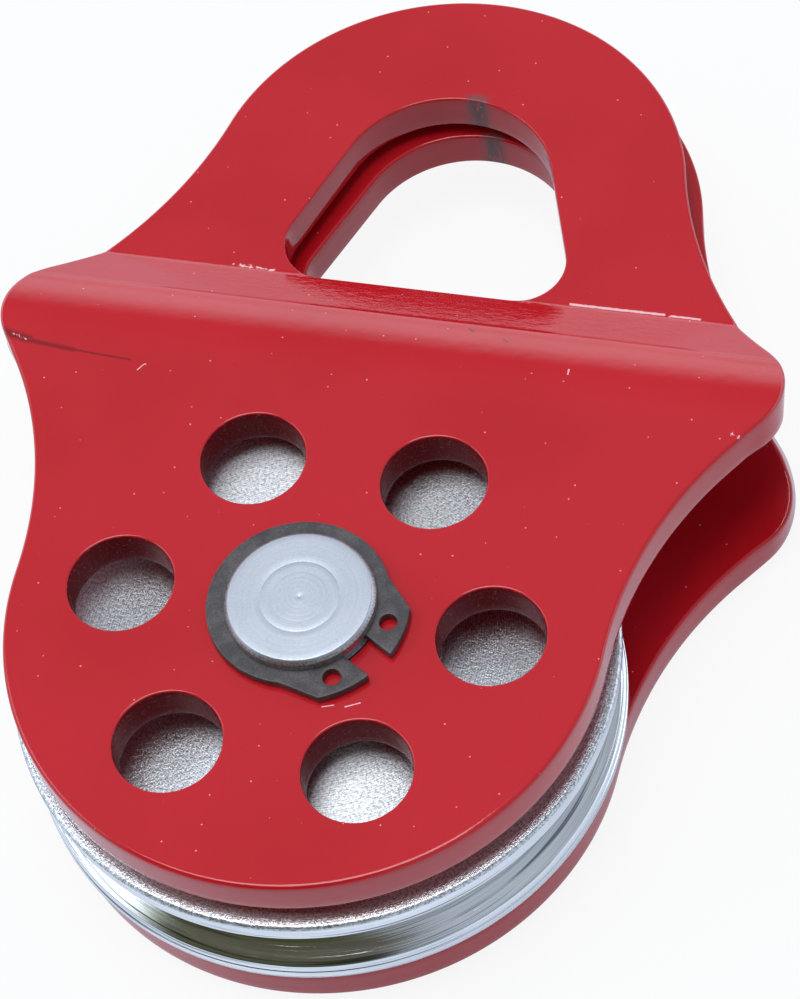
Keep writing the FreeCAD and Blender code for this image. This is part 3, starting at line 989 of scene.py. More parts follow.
@dataclass(frozen=True)
class DarkPhosphate:
    """Dark phosphated spring steel with a paler mottle."""

    name: str
    colour: Colour = (0.056, 0.051, 0.055, 1.0)
    pale: Colour = (0.108, 0.100, 0.106, 1.0)
    metal: float = 0.35
    rough: tuple[float, float] = (0.34, 0.5)
    relief: float = 0.1
    relief_strength: float = 0.25

    def make(self) -> bpy.types.Material:
        """Builds the material.

        Returns:
            The circlip's finish.
        """
        material, graph, shader = new_material(self.name)
        place = graph.place()
        mottle = graph.total(graph.product(graph.noise(place, 300.0, 4.0, 0.65), 0.6),
                             graph.product(graph.noise(place, 3000.0, 2.0), 0.4))
        wire(graph, shader, Metallic=self.metal,
             Base_Color=graph.blend(graph.ramp(mottle, 0.4, 0.65), self.colour, self.pale),
             Roughness=graph.ramp(mottle, 0.3, 0.7, *self.rough),
             Normal=graph.bump(mottle, self.relief_strength, self.relief))
        return material


@dataclass(frozen=True)
class BearingBronze:
    """Plain bearing bronze."""

    name: str
    colour: Colour = (0.50, 0.30, 0.12, 1.0)
    deep: Colour = (0.36, 0.20, 0.08, 1.0)
    rough: tuple[float, float] = (0.3, 0.45)
    relief: float = 0.1
    relief_strength: float = 0.2

    def make(self) -> bpy.types.Material:
        """Builds the material.

        Returns:
            The bush's finish.
        """
        material, graph, shader = new_material(self.name)
        pores = graph.noise(graph.place(), 2200.0, 3.0, 0.6)
        wire(graph, shader, Metallic=1.0,
             Base_Color=graph.blend(graph.ramp(pores, 0.4, 0.6), self.deep, self.colour),
             Roughness=graph.ramp(pores, 0.3, 0.7, *self.rough),
             Normal=graph.bump(pores, self.relief_strength, self.relief))
        return material


# Pieces


@dataclass
class CutSheet:
    """A flat sheet cut to loops, its top face at z = 0, with rounded edges.

    Rows and pitches place the mesh points on its two faces. A lead adds a flat ring of points
    beside each edge, which keeps the highlight on that edge even.
    """

    outer: Points
    holes: list[Points]
    thickness: float
    top_round: float
    hole_round: float
    bottom_round: float
    edge_pitch: float
    rows: np.ndarray
    cross_pitch: float
    back_rows: np.ndarray
    back_pitch: float
    lead: float = 0.0
    top_steps: int = 6
    wall_steps: int = 5
    under_steps: int = 4
    clearance: float = 0.55

    def rings(self, top: float) -> list[tuple[float, float]]:
        """Places the rings of points down an edge.

        Args:
            top: Radius of its upper rounding.

        Returns:
            Inset and height of each ring, from the top down.
        """
        low = self.bottom_round
        down = np.radians(np.linspace(0, 90, self.top_steps))
        under = np.radians(np.linspace(0, 90, self.under_steps))
        wall = np.linspace(-top, low - self.thickness, self.wall_steps)[1:-1]
        first = [(top + self.lead, 0.0)] if self.lead else []
        last = [(low + self.lead, -self.thickness)] if self.lead else []
        return (first
                + [(top * (1 - math.sin(a)), -top * (1 - math.cos(a))) for a in down]
                + [(0.0, height) for height in wall]
                + [(low * (1 - math.cos(a)), low * (1 - math.sin(a)) - self.thickness)
                   for a in under]
                + last)

    def seeds(self, loops: list[Points], rows: np.ndarray, pitch: float) -> Points:
        """Spreads points inside the loops, on rows across the sheet.

        Args:
            loops: The outer loop and then the holes.
            rows: Height of each row.
            pitch: Spacing of points on a row.

        Returns:
            The points that keep clear of the loops.
        """
        low, high = loops[0][:, 0].min(), loops[0][:, 0].max()
        grid = []
        for index, row in enumerate(rows):
            columns = np.arange(low + pitch * (0.25 + 0.5 * (index % 2)), high, pitch)
            grid.append(np.stack([columns, np.full(len(columns), row)], 1))
        points = np.concatenate(grid)
        points = points[within(points, loops)]
        border = np.concatenate(loops)
        tree = kdtree.KDTree(len(border))
        for index, (x, y) in enumerate(border):
            tree.insert((x, y, 0.0), index)
        tree.balance()
        near = self.clearance * self.edge_pitch
        clear = [tree.find((x, y, 0.0))[2] > near for x, y in points]
        return points[np.array(clear, bool)]

    def skin(self, loops: list[Points], inner: Points) -> list[tuple[int, int, int]]:
        """Fills the space between the loops with triangles.

        Args:
            loops: The outer loop and then the holes.
            inner: Points between them.

        Returns:
            Triangles, numbered over the loops' points and then the inner ones.
        """
        border = np.concatenate(loops)
        points = np.concatenate([border, inner])
        edges, start = [], 0
        for loop in loops:
            count = len(loop)
            edges += [(start + i, start + (i + 1) % count) for i in range(count)]
            start += count
        made = geometry.delaunay_2d_cdt([Vector(p) for p in points.tolist()], edges, [], 0, 1e-7)
        if len(made[0]) != len(points):
            raise ValueError("the skin's loops cross")
        numbers = [origin[0] for origin in made[3]]
        faces = np.array([[numbers[i] for i in face] for face in made[2]])
        return faces[within(points[faces].mean(axis=1), loops)].tolist()

    def build(self, name: str) -> bpy.types.Object:
        """Makes the sheet.

        Args:
            name: Name of the object.

        Returns:
            A closed mesh object.
        """
        loops = [respaced(turned(self.outer, True), self.edge_pitch)]
        loops += [respaced(turned(hole, False), self.edge_pitch) for hole in self.holes]
        points: list[Points] = []
        faces: list[list[int]] = []
        ends: list[tuple[list[int], list[int]]] = []
        start = 0
        for number, loop in enumerate(loops):
            count, normals = len(loop), inward(loop)
            rings = self.rings(self.hole_round if number else self.top_round)
            for inset, height in rings:
                flat = loop + normals * inset
                points.append(np.column_stack([flat, np.full(count, height)]))
            for ring in range(len(rings) - 1):
                high, low = start + ring * count, start + (ring + 1) * count
                for i in range(count):
                    j = (i + 1) % count
                    faces.append([high + i, low + i, low + j, high + j])
            last = start + (len(rings) - 1) * count
            ends.append((list(range(start, start + count)), list(range(last, last + count))))
            start += len(rings) * count
        made = np.concatenate(points)
        for side, rows, pitch in ((0, self.rows, self.cross_pitch),
                                  (1, self.back_rows, self.back_pitch)):
            borders = [made[end[side]][:, :2] for end in ends]
            inner = self.seeds(borders, rows, pitch)
            numbers = np.array(sum((end[side] for end in ends), [])
                               + list(range(len(made), len(made) + len(inner))))
            skin = numbers[np.array(self.skin(borders, inner))]
            faces += (skin if side == 0 else skin[:, ::-1]).tolist()
            height = 0.0 if side == 0 else -self.thickness
            made = np.concatenate([made, np.column_stack([inner, np.full(len(inner), height)])])
        return make_object(name, made, faces)


@dataclass
class SidePlate:
    """One of the two joggled side plates; both are cut and pressed alike."""

    thickness: float = 7.5
    base_radius: float = 50.0
    flank_radius: float = 72.0
    flank_straight: float = 7.7
    ear_overhang: float = 4.3
    ear_radius: float = 15.3
    neck_radius: float = 80.0
    eye_height: float = 96.9
    eye_outer_radius: float = 44.2
    eye_hole_height: float = 97.3
    eye_hole_radius: float = 20.0
    eye_flare: float = 19.0
    eye_corner: float = 8.6
    eye_floor: float = 73.6
    hole_count: int = 6
    hole_circle: float = 31.5
    hole_radius: float = 9.0
    bore: float = 12.55
    bend_start: float = 44.5
    bend_radius: float = 37.0
    bend_angle: float = 31.0
    drop: float = 11.5
    crease_radius: float = 2.5
    top_round: float = 0.75
    hole_round: float = 0.4
    bottom_round: float = 0.5
    # What the press tool left at the top of the slope
    tool_mark: float = 0.6
    tool_fade: float = 3.0
    tool_rise: float = 0.14
    slack: float = 1.0
    # Spacing of mesh points on edges, level faces, the bend, the tool's step and the crease
    edge_pitch: float = 0.8
    face_pitch: float = 1.1
    bend_pitch: float = 0.55
    slope_pitch: float = 0.7
    step_pitch: float = 0.15
    crease_pitch: float = 0.2
    back_pitch: float = 2.0
    back_row_pitch: float = 2.2
    back_bend_pitch: float = 0.8
    edge_lead: float = 0.12

    @property
    def top(self) -> float:
        """Height of the plate's upper end."""
        return self.eye_height + self.eye_outer_radius

    @property
    def bend_end(self) -> float:
        """Height at which the large bend goes over into the slope."""
        return self.bend_start + self.bend_radius * math.sin(math.radians(self.bend_angle))

    @property
    def crease(self) -> float:
        """Height of the crease's middle, where the eye turns flat."""
        slope = math.radians(self.bend_angle)
        fall = self.bend_radius * (1 - math.cos(slope))
        foot = self.bend_end + (self.drop - fall) / math.tan(slope)
        return foot + self.crease_radius * math.tan(slope / 2)

    def outline(self) -> Points:
        """Draws the plate's outer loop, from its base round the right side, and mirrors it.

        Returns:
            The points of the whole loop.
        """
        base, flank, ear = self.base_radius, self.flank_radius, self.ear_radius
        neck, eye = self.neck_radius, self.eye_outer_radius
        side = np.array([base + flank, 0.0])
        reach = base + self.ear_overhang
        # The straight between flank and ear touches one circle on each side
        span = math.hypot(flank + ear, self.flank_straight)
        tip = np.array([reach, math.sqrt(span**2 - (side[0] - reach)**2)])
        crown = np.array([0.0, self.eye_height])
        line = tip - side
        square = math.degrees(math.atan2(line[1], line[0]) + math.acos((flank + ear) / span))
        gap = tip - crown
        along = ((eye + neck)**2 - (ear + neck)**2 + gap @ gap) / (2 * np.linalg.norm(gap))
        aside = math.sqrt((eye + neck)**2 - along**2)
        unit = gap / np.linalg.norm(gap)
        throat = crown + along * unit + aside * np.array([-unit[1], unit[0]])
        to_ear = math.degrees(math.atan2(*(tip - throat)[::-1])) % 360
        to_eye = math.degrees(math.atan2(*(crown - throat)[::-1])) % 360
        half = np.concatenate([
            arc((0, 0), base, -90, 0), arc(side, flank, 180, square),
            arc(tip, ear, square - 180, to_ear - 180), arc(throat, neck, to_ear, to_eye),
            arc(crown, eye, to_eye - 180, 90)])
        mirrored = half[::-1] * [-1, 1]
        return np.concatenate([half, mirrored[1:-1]])

    def cut_outs(self) -> list[Points]:
        """Draws what is cut out of the plate.

        Returns:
            The loops of the eye, the axle bore and the round holes.
        """
        lean = math.radians(self.eye_flare)
        peak = self.eye_hole_height + self.eye_hole_radius / math.sin(lean)
        foot = (peak - self.eye_floor) * math.tan(lean)
        eye = rounded([(0.0, peak, self.eye_hole_radius), (-foot, self.eye_floor, self.eye_corner),
                       (foot, self.eye_floor, self.eye_corner)])
        holes = [circle(polar(self.hole_circle, index * 360 / self.hole_count),
                        self.hole_radius) for index in range(self.hole_count)]
        return [eye, circle((0, 0), self.bore), *holes]

    def rows(self) -> np.ndarray:
        """Places rows of mesh points up the outer face, closer where it bends.

        Returns:
            The height of each row.
        """
        base, end, crease = self.bend_start - 2, self.bend_end, self.crease
        stretches = ((-self.base_radius, base, self.face_pitch),
                     (base, end - 2.8, self.bend_pitch),
                     (end - 2.8, end + self.step_pitch, self.step_pitch),
                     (end + 2 * self.step_pitch, end + 1.2, 2 * self.step_pitch),
                     (end + 1.2, crease - 1.6, self.slope_pitch),
                     (crease - 1.6, crease + 0.4, self.crease_pitch),
                     (crease + 0.4, self.top, self.face_pitch))
        return np.concatenate([np.arange(*stretch) for stretch in stretches])

    def back_rows(self) -> np.ndarray:
        """Places rows of mesh points up the inner face, closer where it bends.

        Returns:
            The height of each row.
        """
        base, crease = self.bend_start - 2, self.crease + 1
        stretches = ((-self.base_radius, base, self.back_row_pitch),
                     (base, crease, self.back_bend_pitch),
                     (crease, self.top, self.back_row_pitch))
        return np.concatenate([np.arange(*stretch) for stretch in stretches])

    def blank(self, name: str) -> bpy.types.Object:
        """Cuts the flat plate.

        Args:
            name: Name of the object.

        Returns:
            The blank, with its outer face at z = 0.
        """
        sheet = CutSheet(self.outline(), self.cut_outs(), self.thickness,
                         top_round=self.top_round, hole_round=self.hole_round,
                         bottom_round=self.bottom_round, edge_pitch=self.edge_pitch,
                         rows=self.rows(), cross_pitch=self.face_pitch,
                         back_rows=self.back_rows(), back_pitch=self.back_pitch,
                         lead=self.edge_lead)
        return sheet.build(name)

    def press(self, blank: bpy.types.Object, name: str,
              coat: bpy.types.Material) -> bpy.types.Object:
        """Presses the flat blank to its joggle by a rule of height and depth in the sheet.

        Args:
            blank: Flat plate with its outer face at z = 0.
            name: Name of the pressed plate.
            coat: Its finish.

        Returns:
            The pressed plate.
        """
        tree = GeometryTree("pressed_joggle", {
            "Bend Start": self.bend_start * MM, "Bend Radius": self.bend_radius * MM,
            "Bend Angle": math.radians(self.bend_angle), "Crease": self.crease * MM,
            "Crease Radius": self.crease_radius * MM, "Tool Mark": self.tool_mark * MM,
            "Tool Fade": self.tool_fade * MM, "Tool Rise": self.tool_rise * MM,
            "Slack": self.slack * MM})
        given, calc, times = tree.given, tree.math, tree.product
        x, y, z = tree.split(tree.add("GeometryNodeInputPosition").outputs[0])
        angle, crest, dip = given["Bend Angle"], given["Bend Radius"], given["Crease Radius"]
        sine = calc("SINE", angle)
        bend_end = calc("ADD", given["Bend Start"], times(crest, sine))
        valley = calc("SUBTRACT", given["Crease"], times(dip, sine))

        def reach(start: Any, end: Any) -> Socket:
            """How far y has run from a start, held between nought and the end."""
            past = calc("MINIMUM", calc("MAXIMUM", y, start), end)
            return calc("SUBTRACT", past, start)

        # Lean of the sheet: it grows round the bend, and goes back to nought in the crease
        turned_by = calc("ARCSINE", calc("DIVIDE", reach(given["Bend Start"], bend_end), crest))
        left = calc("SUBTRACT", times(dip, sine), reach(valley, given["Crease"]))
        left_by = calc("ARCSINE", calc("DIVIDE", left, dip))
        lean = calc("SUBTRACT", turned_by, calc("SUBTRACT", angle, left_by))
        # Fall of the outer face round the bend, down the slope and in the crease
        bent = times(crest, calc("SUBTRACT", 1.0, calc("COSINE", turned_by)))
        fall = times(reach(bend_end, valley), calc("TANGENT", angle))
        settle = times(dip, calc("SUBTRACT", calc("COSINE", left_by), calc("COSINE", angle)))
        # The press tool's edge left a narrow step at the top of the slope, and slack below it
        before = calc("MAXIMUM", calc("SUBTRACT", bend_end, y), 0.0)
        step = times(given["Tool Rise"],
                     calc("MINIMUM", calc("DIVIDE", before, given["Tool Mark"]), 1.0),
                     tree.ramp(before, given["Tool Mark"], given["Tool Fade"], 1.0, 0.0))
        share = calc("MINIMUM", calc("DIVIDE", before, times(crest, sine)), 1.0)
        rest = calc("SUBTRACT", 1.0, share)
        sag = times(given["Slack"], share, rest, rest)
        outer = calc("SUBTRACT", step, tree.total(bent, fall, settle, sag))
        moved = tree.add("GeometryNodeSetPosition", {
            "Geometry": given["Geometry"], "Position": tree.joined(
                x, calc("ADD", y, times(z, calc("SINE", lean))),
                calc("ADD", outer, times(z, calc("COSINE", lean))))})
        tree.finish(moved.outputs[0], coat)
        return tree.run(blank, name)

    def build(self, body: Body, node: str, coat: bpy.types.Material) -> bpy.types.Object:
        """Makes a plate and sets it on the axle.

        Args:
            body: Body that the plate moves with.
            node: Solid that it stands for.
            coat: Its finish.

        Returns:
            The plate.
        """
        plate = self.press(self.blank(f"{node}_blank"), f"{node}_shell", coat)
        shade_smooth(plate, SHEET_SMOOTH)
        place_plate(plate, body)
        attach(plate, body.value)
        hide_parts(node)
        return plate


def place_plate(piece: bpy.types.Object, body: Body) -> None:
    """Sets a pressed plate on its own side of the block.

    Args:
        piece: Plate with its outer face at z = 0.
        body: Body that it moves with; the rear one is turned over and swung.
    """
    points = vertex_places(piece.data)
    if body is Body.FRONT_SIDE:
        points[:, 2] += FRONT_FACE * MM
    else:
        points *= [-1, 1, -1]
        swing = math.radians(PLATE_SWING)
        spin = np.array([[math.cos(swing), -math.sin(swing)], [math.sin(swing), math.cos(swing)]])
        points[:, :2] = points[:, :2] @ spin.T
        points[:, 2] += REAR_FACE * MM
    piece.data.vertices.foreach_set("co", points.ravel())
    piece.data.update()


@dataclass
class TurnedPiece:
    """A piece turned from a closed section of radius and height, with ragged stretches.

    The ragged array says for each point of the section how far it may wander, from 0 to 1.
    """

    name: str
    section: Points
    ragged: np.ndarray
    steps: int
    ragged_depth: float
    ragged_pitch: float
    seed: float
    ragged_level: float = 0.62
    merge: float = 0.001

    def turned_place(self, tree: GeometryTree, spot: Socket, ragged: Socket,
                     turn: Socket) -> Socket:
        """Swings a point of the section round the axle.

        Args:
            tree: The tree that turns the section.
            spot: The point's place in the section.
            ragged: How far it may wander, from 0 to 1.
            turn: Angle about the axle.

        Returns:
            Its place on the piece.
        """
        given, calc, times = tree.given, tree.math, tree.product
        radius, _, height = tree.split(spot)
        cosine, sine = calc("COSINE", turn), calc("SINE", turn)
        smooth = tree.joined(times(cosine, radius), times(sine, radius), height)
        grit = tree.add("ShaderNodeTexNoise", {
            "Vector": smooth, "W": given["Seed"], "Scale": given["Ragged Scale"],
            "Detail": 3.0}, noise_dimensions="4D").outputs[0]
        swell = times(calc("SUBTRACT", grit, self.ragged_level), ragged, given["Ragged Depth"])
        reach = calc("ADD", radius, swell)
        return tree.joined(times(cosine, reach), times(sine, reach), height)

    def build(self, finish: bpy.types.Material) -> bpy.types.Object:
        """Turns the section about the axle.

        Args:
            finish: The piece's material.

        Returns:
            A closed mesh object.
        """
        count = len(self.section)
        flat = np.column_stack([self.section[:, 0], np.zeros(count), self.section[:, 1]])
        base = bpy.data.meshes.new(f"{self.name}_section")
        base.from_pydata((flat * MM).tolist(), [(i, (i + 1) % count) for i in range(count)], [])
        rag = base.attributes.new("ragged", "FLOAT", "POINT")
        rag.data.foreach_set("value", self.ragged.astype(float))
        piece = bpy.data.objects.new(f"{self.name}_section", base)
        bpy.context.collection.objects.link(piece)

        tree = GeometryTree("turned_section", {
            "Points": count, "Steps": self.steps, "Ragged Depth": self.ragged_depth * MM,
            "Ragged Scale": 1 / (self.ragged_pitch * MM), "Seed": self.seed})
        given, calc = tree.given, tree.math
        rows = calc("ADD", given["Steps"], 1.0)
        grid = tree.add("GeometryNodeMeshGrid", {
            "Size X": 1.0, "Size Y": 1.0,
            "Vertices X": calc("ADD", given["Points"], 1.0), "Vertices Y": rows})
        index = tree.add("GeometryNodeInputIndex").outputs[0]
        along = calc("MODULO", calc("FLOOR", calc("DIVIDE", calc("ADD", index, 0.5), rows)),
                     given["Points"])
        turn = tree.product(calc("DIVIDE", calc("MODULO", index, rows), given["Steps"]),
                            2 * math.pi)

        def sampled(value: Socket, kind: str) -> Socket:
            """A value of the section at the point that this one is swung from."""
            return tree.add("GeometryNodeSampleIndex", {
                "Geometry": given["Geometry"], "Index": along, "Value": value},
                data_type=kind, domain="POINT").outputs[0]

        named = tree.add("GeometryNodeInputNamedAttribute", {"Name": "ragged"},
                         data_type="FLOAT")
        spot = sampled(tree.add("GeometryNodeInputPosition").outputs[0], "FLOAT_VECTOR")
        moved = tree.add("GeometryNodeSetPosition", {
            "Geometry": grid.outputs[0], "Position": self.turned_place(
                tree, spot, sampled(named.outputs[0], "FLOAT"), turn)})
        merged = tree.add("GeometryNodeMergeByDistance", {
            "Geometry": moved.outputs[0], "Distance": self.merge * MM})
        smooth = tree.add("GeometryNodeSetShadeSmooth", {"Geometry": merged.outputs[0]})
        tree.finish(smooth.outputs[0], finish)
        made = tree.run(piece, self.name)
        face_outwards(made.data)
        shade_smooth(made, TURNED_SMOOTH)
        return made


@dataclass
class Sheave:
    """Turned steel rope wheel with a round-bottomed groove between two narrow rims."""

    radius: float = 51.2
    width: float = 19.4
    bore: float = 15.5
    bore_round: float = 0.4
    rope_radius: float = 4.4
    rope_depth: float = 5.2
    rope_flare: float = 30.0
    rim_round: float = 0.8
    mouth_round: float = 0.7
    # The turned step on each land: its depth, its way from the mouth, its ramp and rounding
    step: float = 0.16
    step_way: float = 1.5
    step_ramp: float = 0.12
    step_round: float = 0.08
    # The stretch of the section that the ragged rim fades over
    ragged_way: float = 1.2
    ragged_side: float = 1.4

    def section(self) -> Points:
        """Draws the wheel's section about its own middle.

        Returns:
            A closed path of radius and height.
        """
        half, lean = self.width / 2, math.radians(self.rope_flare)
        floor = self.radius - self.rope_depth + self.rope_radius
        valley = floor - self.rope_radius / math.sin(lean)
        mouth = (self.radius - valley) * math.tan(lean)
        low, shoulder = self.radius - self.step, mouth + self.step_way
        return rounded([
            (self.bore, -half, self.bore_round), (self.radius, -half, self.rim_round),
            (self.radius, -shoulder, self.step_round),
            (low, self.step_ramp - shoulder, self.step_round),
            (low, -mouth, self.mouth_round), (valley, 0.0, self.rope_radius),
            (low, mouth, self.mouth_round),
            (low, shoulder - self.step_ramp, self.step_round),
            (self.radius, shoulder, self.step_round), (self.radius, half, self.rim_round),
            (self.bore, half, self.bore_round)])

    def build(self, zinc: bpy.types.Material) -> bpy.types.Object:
        """Makes the sheave.

        Args:
            zinc: Its finish.

        Returns:
            The sheave, set on the axle between the plates.
        """
        section = densified(thinned(self.section(), 0.16), 1.4)
        inset = self.radius - section[:, 0]
        depth = self.width / 2 - np.abs(section[:, 1])
        rim = np.clip(1 - inset / self.ragged_way, 0, 1)
        side = np.clip(1 - depth / self.ragged_side, 0, 1)
        section[:, 1] += SHEAVE_MIDDLE
        sheave = TurnedPiece("sheave_wheel", section, rim * (0.25 + 0.75 * side), steps=480,
                             ragged_depth=0.12, ragged_pitch=1.2, seed=3.0).build(zinc)
        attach(sheave, Body.SHEAVE.value)
        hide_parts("sheave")
        return sheave


@dataclass
class Axle:
    """Headed axle: a flat head below, a circlip groove and a turned end face above."""

    radius: float = 12.5
    top: float = 48.0
    core: float = 0.02
    head_radius: float = 18.0
    head: float = 3.0
    head_bevel: float = 0.5
    head_round: float = 0.2
    seat_radius: float = 11.95
    seat_low: float = 44.15
    seat_high: float = 45.75
    bevel: float = 0.7
    # Marks in the end face: the centre pip, fine rings and the tool's ring
    pip_depth: float = 0.06
    rings: tuple[float, ...] = (1.3, 2.1, 2.9, 3.8, 4.7)
    ring_depth: float = 0.005
    tool_ring: float = 6.6
    tool_depth: float = 0.022
    ring_half: float = 0.12

    def end_face(self) -> list[Corner]:
        """Draws the end face from its centre out: a shallow pip, then turned rings.

        Returns:
            Corners of the section.
        """
        corners = [(self.core, self.top - self.pip_depth, 0), (0.2, self.top - 0.04, 0),
                   (0.45, self.top, 0)]
        marks = [(ring, self.ring_depth) for ring in self.rings]
        for ring, depth in (*marks, (self.tool_ring, self.tool_depth)):
            corners += [(ring - self.ring_half, self.top, 0), (ring, self.top - depth, 0),
                        (ring + self.ring_half, self.top, 0)]
        return corners

    def build(self, zinc: bpy.types.Material) -> bpy.types.Object:
        """Makes the axle.

        Args:
            zinc: Its finish.

        Returns:
            The axle, set in place.
        """
        wide, bevel, soft = self.head_radius, self.head_bevel, self.head_round
        corners = [(self.core, 0.0, 0), (wide - bevel, 0.0, soft), (wide, bevel, soft),
                   (wide, self.head - bevel, soft), (wide - bevel, self.head, soft),
                   (self.radius, self.head, 0), (self.radius, self.seat_low, 0),
                   (self.seat_radius, self.seat_low, 0), (self.seat_radius, self.seat_high, 0),
                   (self.radius, self.seat_high, 0.08),
                   (self.radius, self.top - self.bevel, 0.15),
                   (self.radius - self.bevel, self.top, 0.2), *self.end_face()[::-1]]
        section = densified(thinned(rounded(corners), 0.05), 1.2)
        worn = np.clip((section[:, 0] - self.radius + 0.9) / 0.5, 0, 1)
        worn *= section[:, 1] > self.top - self.bevel - 0.5
        axle = TurnedPiece("axle_pin", section, worn, steps=240, ragged_depth=0.10,
                           ragged_pitch=0.9, seed=7.0).build(zinc)
        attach(axle, Body.REAR_SIDE.value)
        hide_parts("axle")
        return axle


@dataclass
class Circlip:
    """External retaining ring with two pierced lugs beside its gap."""

    seat: float = 11.95
    ring: float = 15.25
    offset: float = 0.8
    gap: float = 5.0
    lug: float = 17.9
    lug_angle: float = 37.0
    flare_angle: float = 57.0
    eye_radius: float = 1.5
    eye_circle: float = 14.9
    eye_angle: float = 26.2
    turn: float = -30.4
    floor: float = 44.2
    thickness: float = 1.5
    face_pitch: float = 0.45
    back_pitch: float = 1.0

    def outline(self) -> Points:
        """Draws the ring's outer loop with its gap facing +X.

        Returns:
            The points of the whole loop.
        """
        half = self.gap / 2
        inner, outer = (math.degrees(math.asin(half / r)) for r in (self.seat, self.lug))
        across, up = polar(self.ring, self.flare_angle)
        shoulder = (across - self.offset, up)
        side = np.concatenate([
            arc((0, 0), self.lug, outer, self.lug_angle),
            straight(polar(self.lug, self.lug_angle), shoulder),
            arc((-self.offset, 0), self.ring, self.flare_angle, 180)])
        upper = np.concatenate([straight(polar(self.seat, inner), side[0]), side])
        lower = (upper * [1, -1])[::-1][1:]
        bore = arc((0, 0), self.seat, -inner, inner - 360)[1:-1]
        return np.concatenate([upper, lower, bore])

    def build(self, steel: bpy.types.Material) -> bpy.types.Object:
        """Makes the circlip.

        Args:
            steel: Its finish.

        Returns:
            The circlip, set in the axle's groove.
        """
        eyes = [circle(polar(self.eye_circle, angle), self.eye_radius)
                for angle in (self.eye_angle, -self.eye_angle)]
        sheet = CutSheet(self.outline(), eyes, self.thickness, top_round=0.18,
                         hole_round=0.12, bottom_round=0.1, edge_pitch=0.28,
                         rows=np.arange(-self.lug, self.lug, self.face_pitch),
                         cross_pitch=self.face_pitch,
                         back_rows=np.arange(-self.lug, self.lug, self.back_pitch),
                         back_pitch=self.back_pitch)
        clip = sheet.build("circlip_ring")
        clip.data.transform(Euler((0, 0, math.radians(self.turn))).to_matrix().to_4x4())
        for vertex in clip.data.vertices:
            vertex.co.z += (self.floor + self.thickness) * MM
        clip.data.materials.append(steel)
        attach(clip, Body.REAR_SIDE.value)
        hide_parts("circlip")
        return clip


# Studio


@dataclass(frozen=True)
class Surroundings:
    """What polish and paint see round the block, painted by direction.

    Each pair is where a region starts and is full, as a part of a direction of length one.
    Levels are strengths, where 1 is white.
    """

    low: tuple[float, float] = (0.42, 0.18)
    back: tuple[float, float] = (0.0, 0.45)
    side: tuple[float, float] = (0.35, 0.8)
    middle: float = 0.17
    ceiling: tuple[float, float] = (0.22, 0.36)
    ceiling_half: tuple[float, float] = (0.42, 0.22)
    room: tuple[float, float] = (-0.12, -0.36)
    room_half: tuple[float, float] = (0.62, 0.38)
    window: tuple[float, float] = (-0.56, -0.62)
    window_sill: tuple[float, float] = (0.40, 0.50)
    window_middle: float = 0.12
    window_half: tuple[float, float] = (0.44, 0.32)
    dome: tuple[float, float, float, float] = (0.3, 0.85, 0.24, 0.56)
    window_level: float = 2.4
    ceiling_level: float = 0.02
    back_level: float = 1.4
    side_level: float = 0.5
    room_height: tuple[float, float] = (0.55, 0.8)
    shade: Colour = (0.92, 0.99, 1.10, 1.0)
    room_wall: Colour = (0.20, 0.22, 0.10, 1.0)
    room_roof: Colour = (0.17, 0.15, 0.11, 1.0)

    def glow(self, graph: Graph) -> Socket:
        """Paints bright paper low at the back and sides, a dim ceiling and a dark room.

        Args:
            graph: The world's graph.

        Returns:
            The background that everything but the camera sees.
        """
        x, y, z = graph.split(graph.add("ShaderNodeTexCoord").outputs["Generated"])
        low = graph.ramp(z, *self.low)
        back = graph.product(graph.ramp(y, *self.back), low)
        side = graph.product(graph.ramp(graph.math("ABSOLUTE", x), *self.side), low)
        aside = graph.math("ABSOLUTE", graph.math("ADD", x, self.middle))
        ceiling = graph.product(graph.ramp(y, *self.ceiling),
                                graph.ramp(aside, *self.ceiling_half))
        # The camera stands in a dark room; a window is to the left of it
        room = graph.product(graph.ramp(y, *self.room), graph.ramp(aside, *self.room_half))
        beside = graph.math("ABSOLUTE", graph.math("ADD", y, self.window_middle))
        window = graph.product(graph.ramp(x, *self.window), graph.ramp(z, *self.window_sill),
                               graph.ramp(beside, *self.window_half))
        level = graph.total(graph.ramp(z, *self.dome),
                            graph.product(window, self.window_level),
                            graph.product(ceiling, self.ceiling_level),
                            graph.product(back, self.back_level),
                            graph.product(side, self.side_level))
        dark = graph.blend(graph.ramp(z, *self.room_height), self.room_wall, self.room_roof)
        return graph.add("ShaderNodeBackground", {
            "Color": graph.blend(room, self.shade, dark), "Strength": level}).outputs[0]


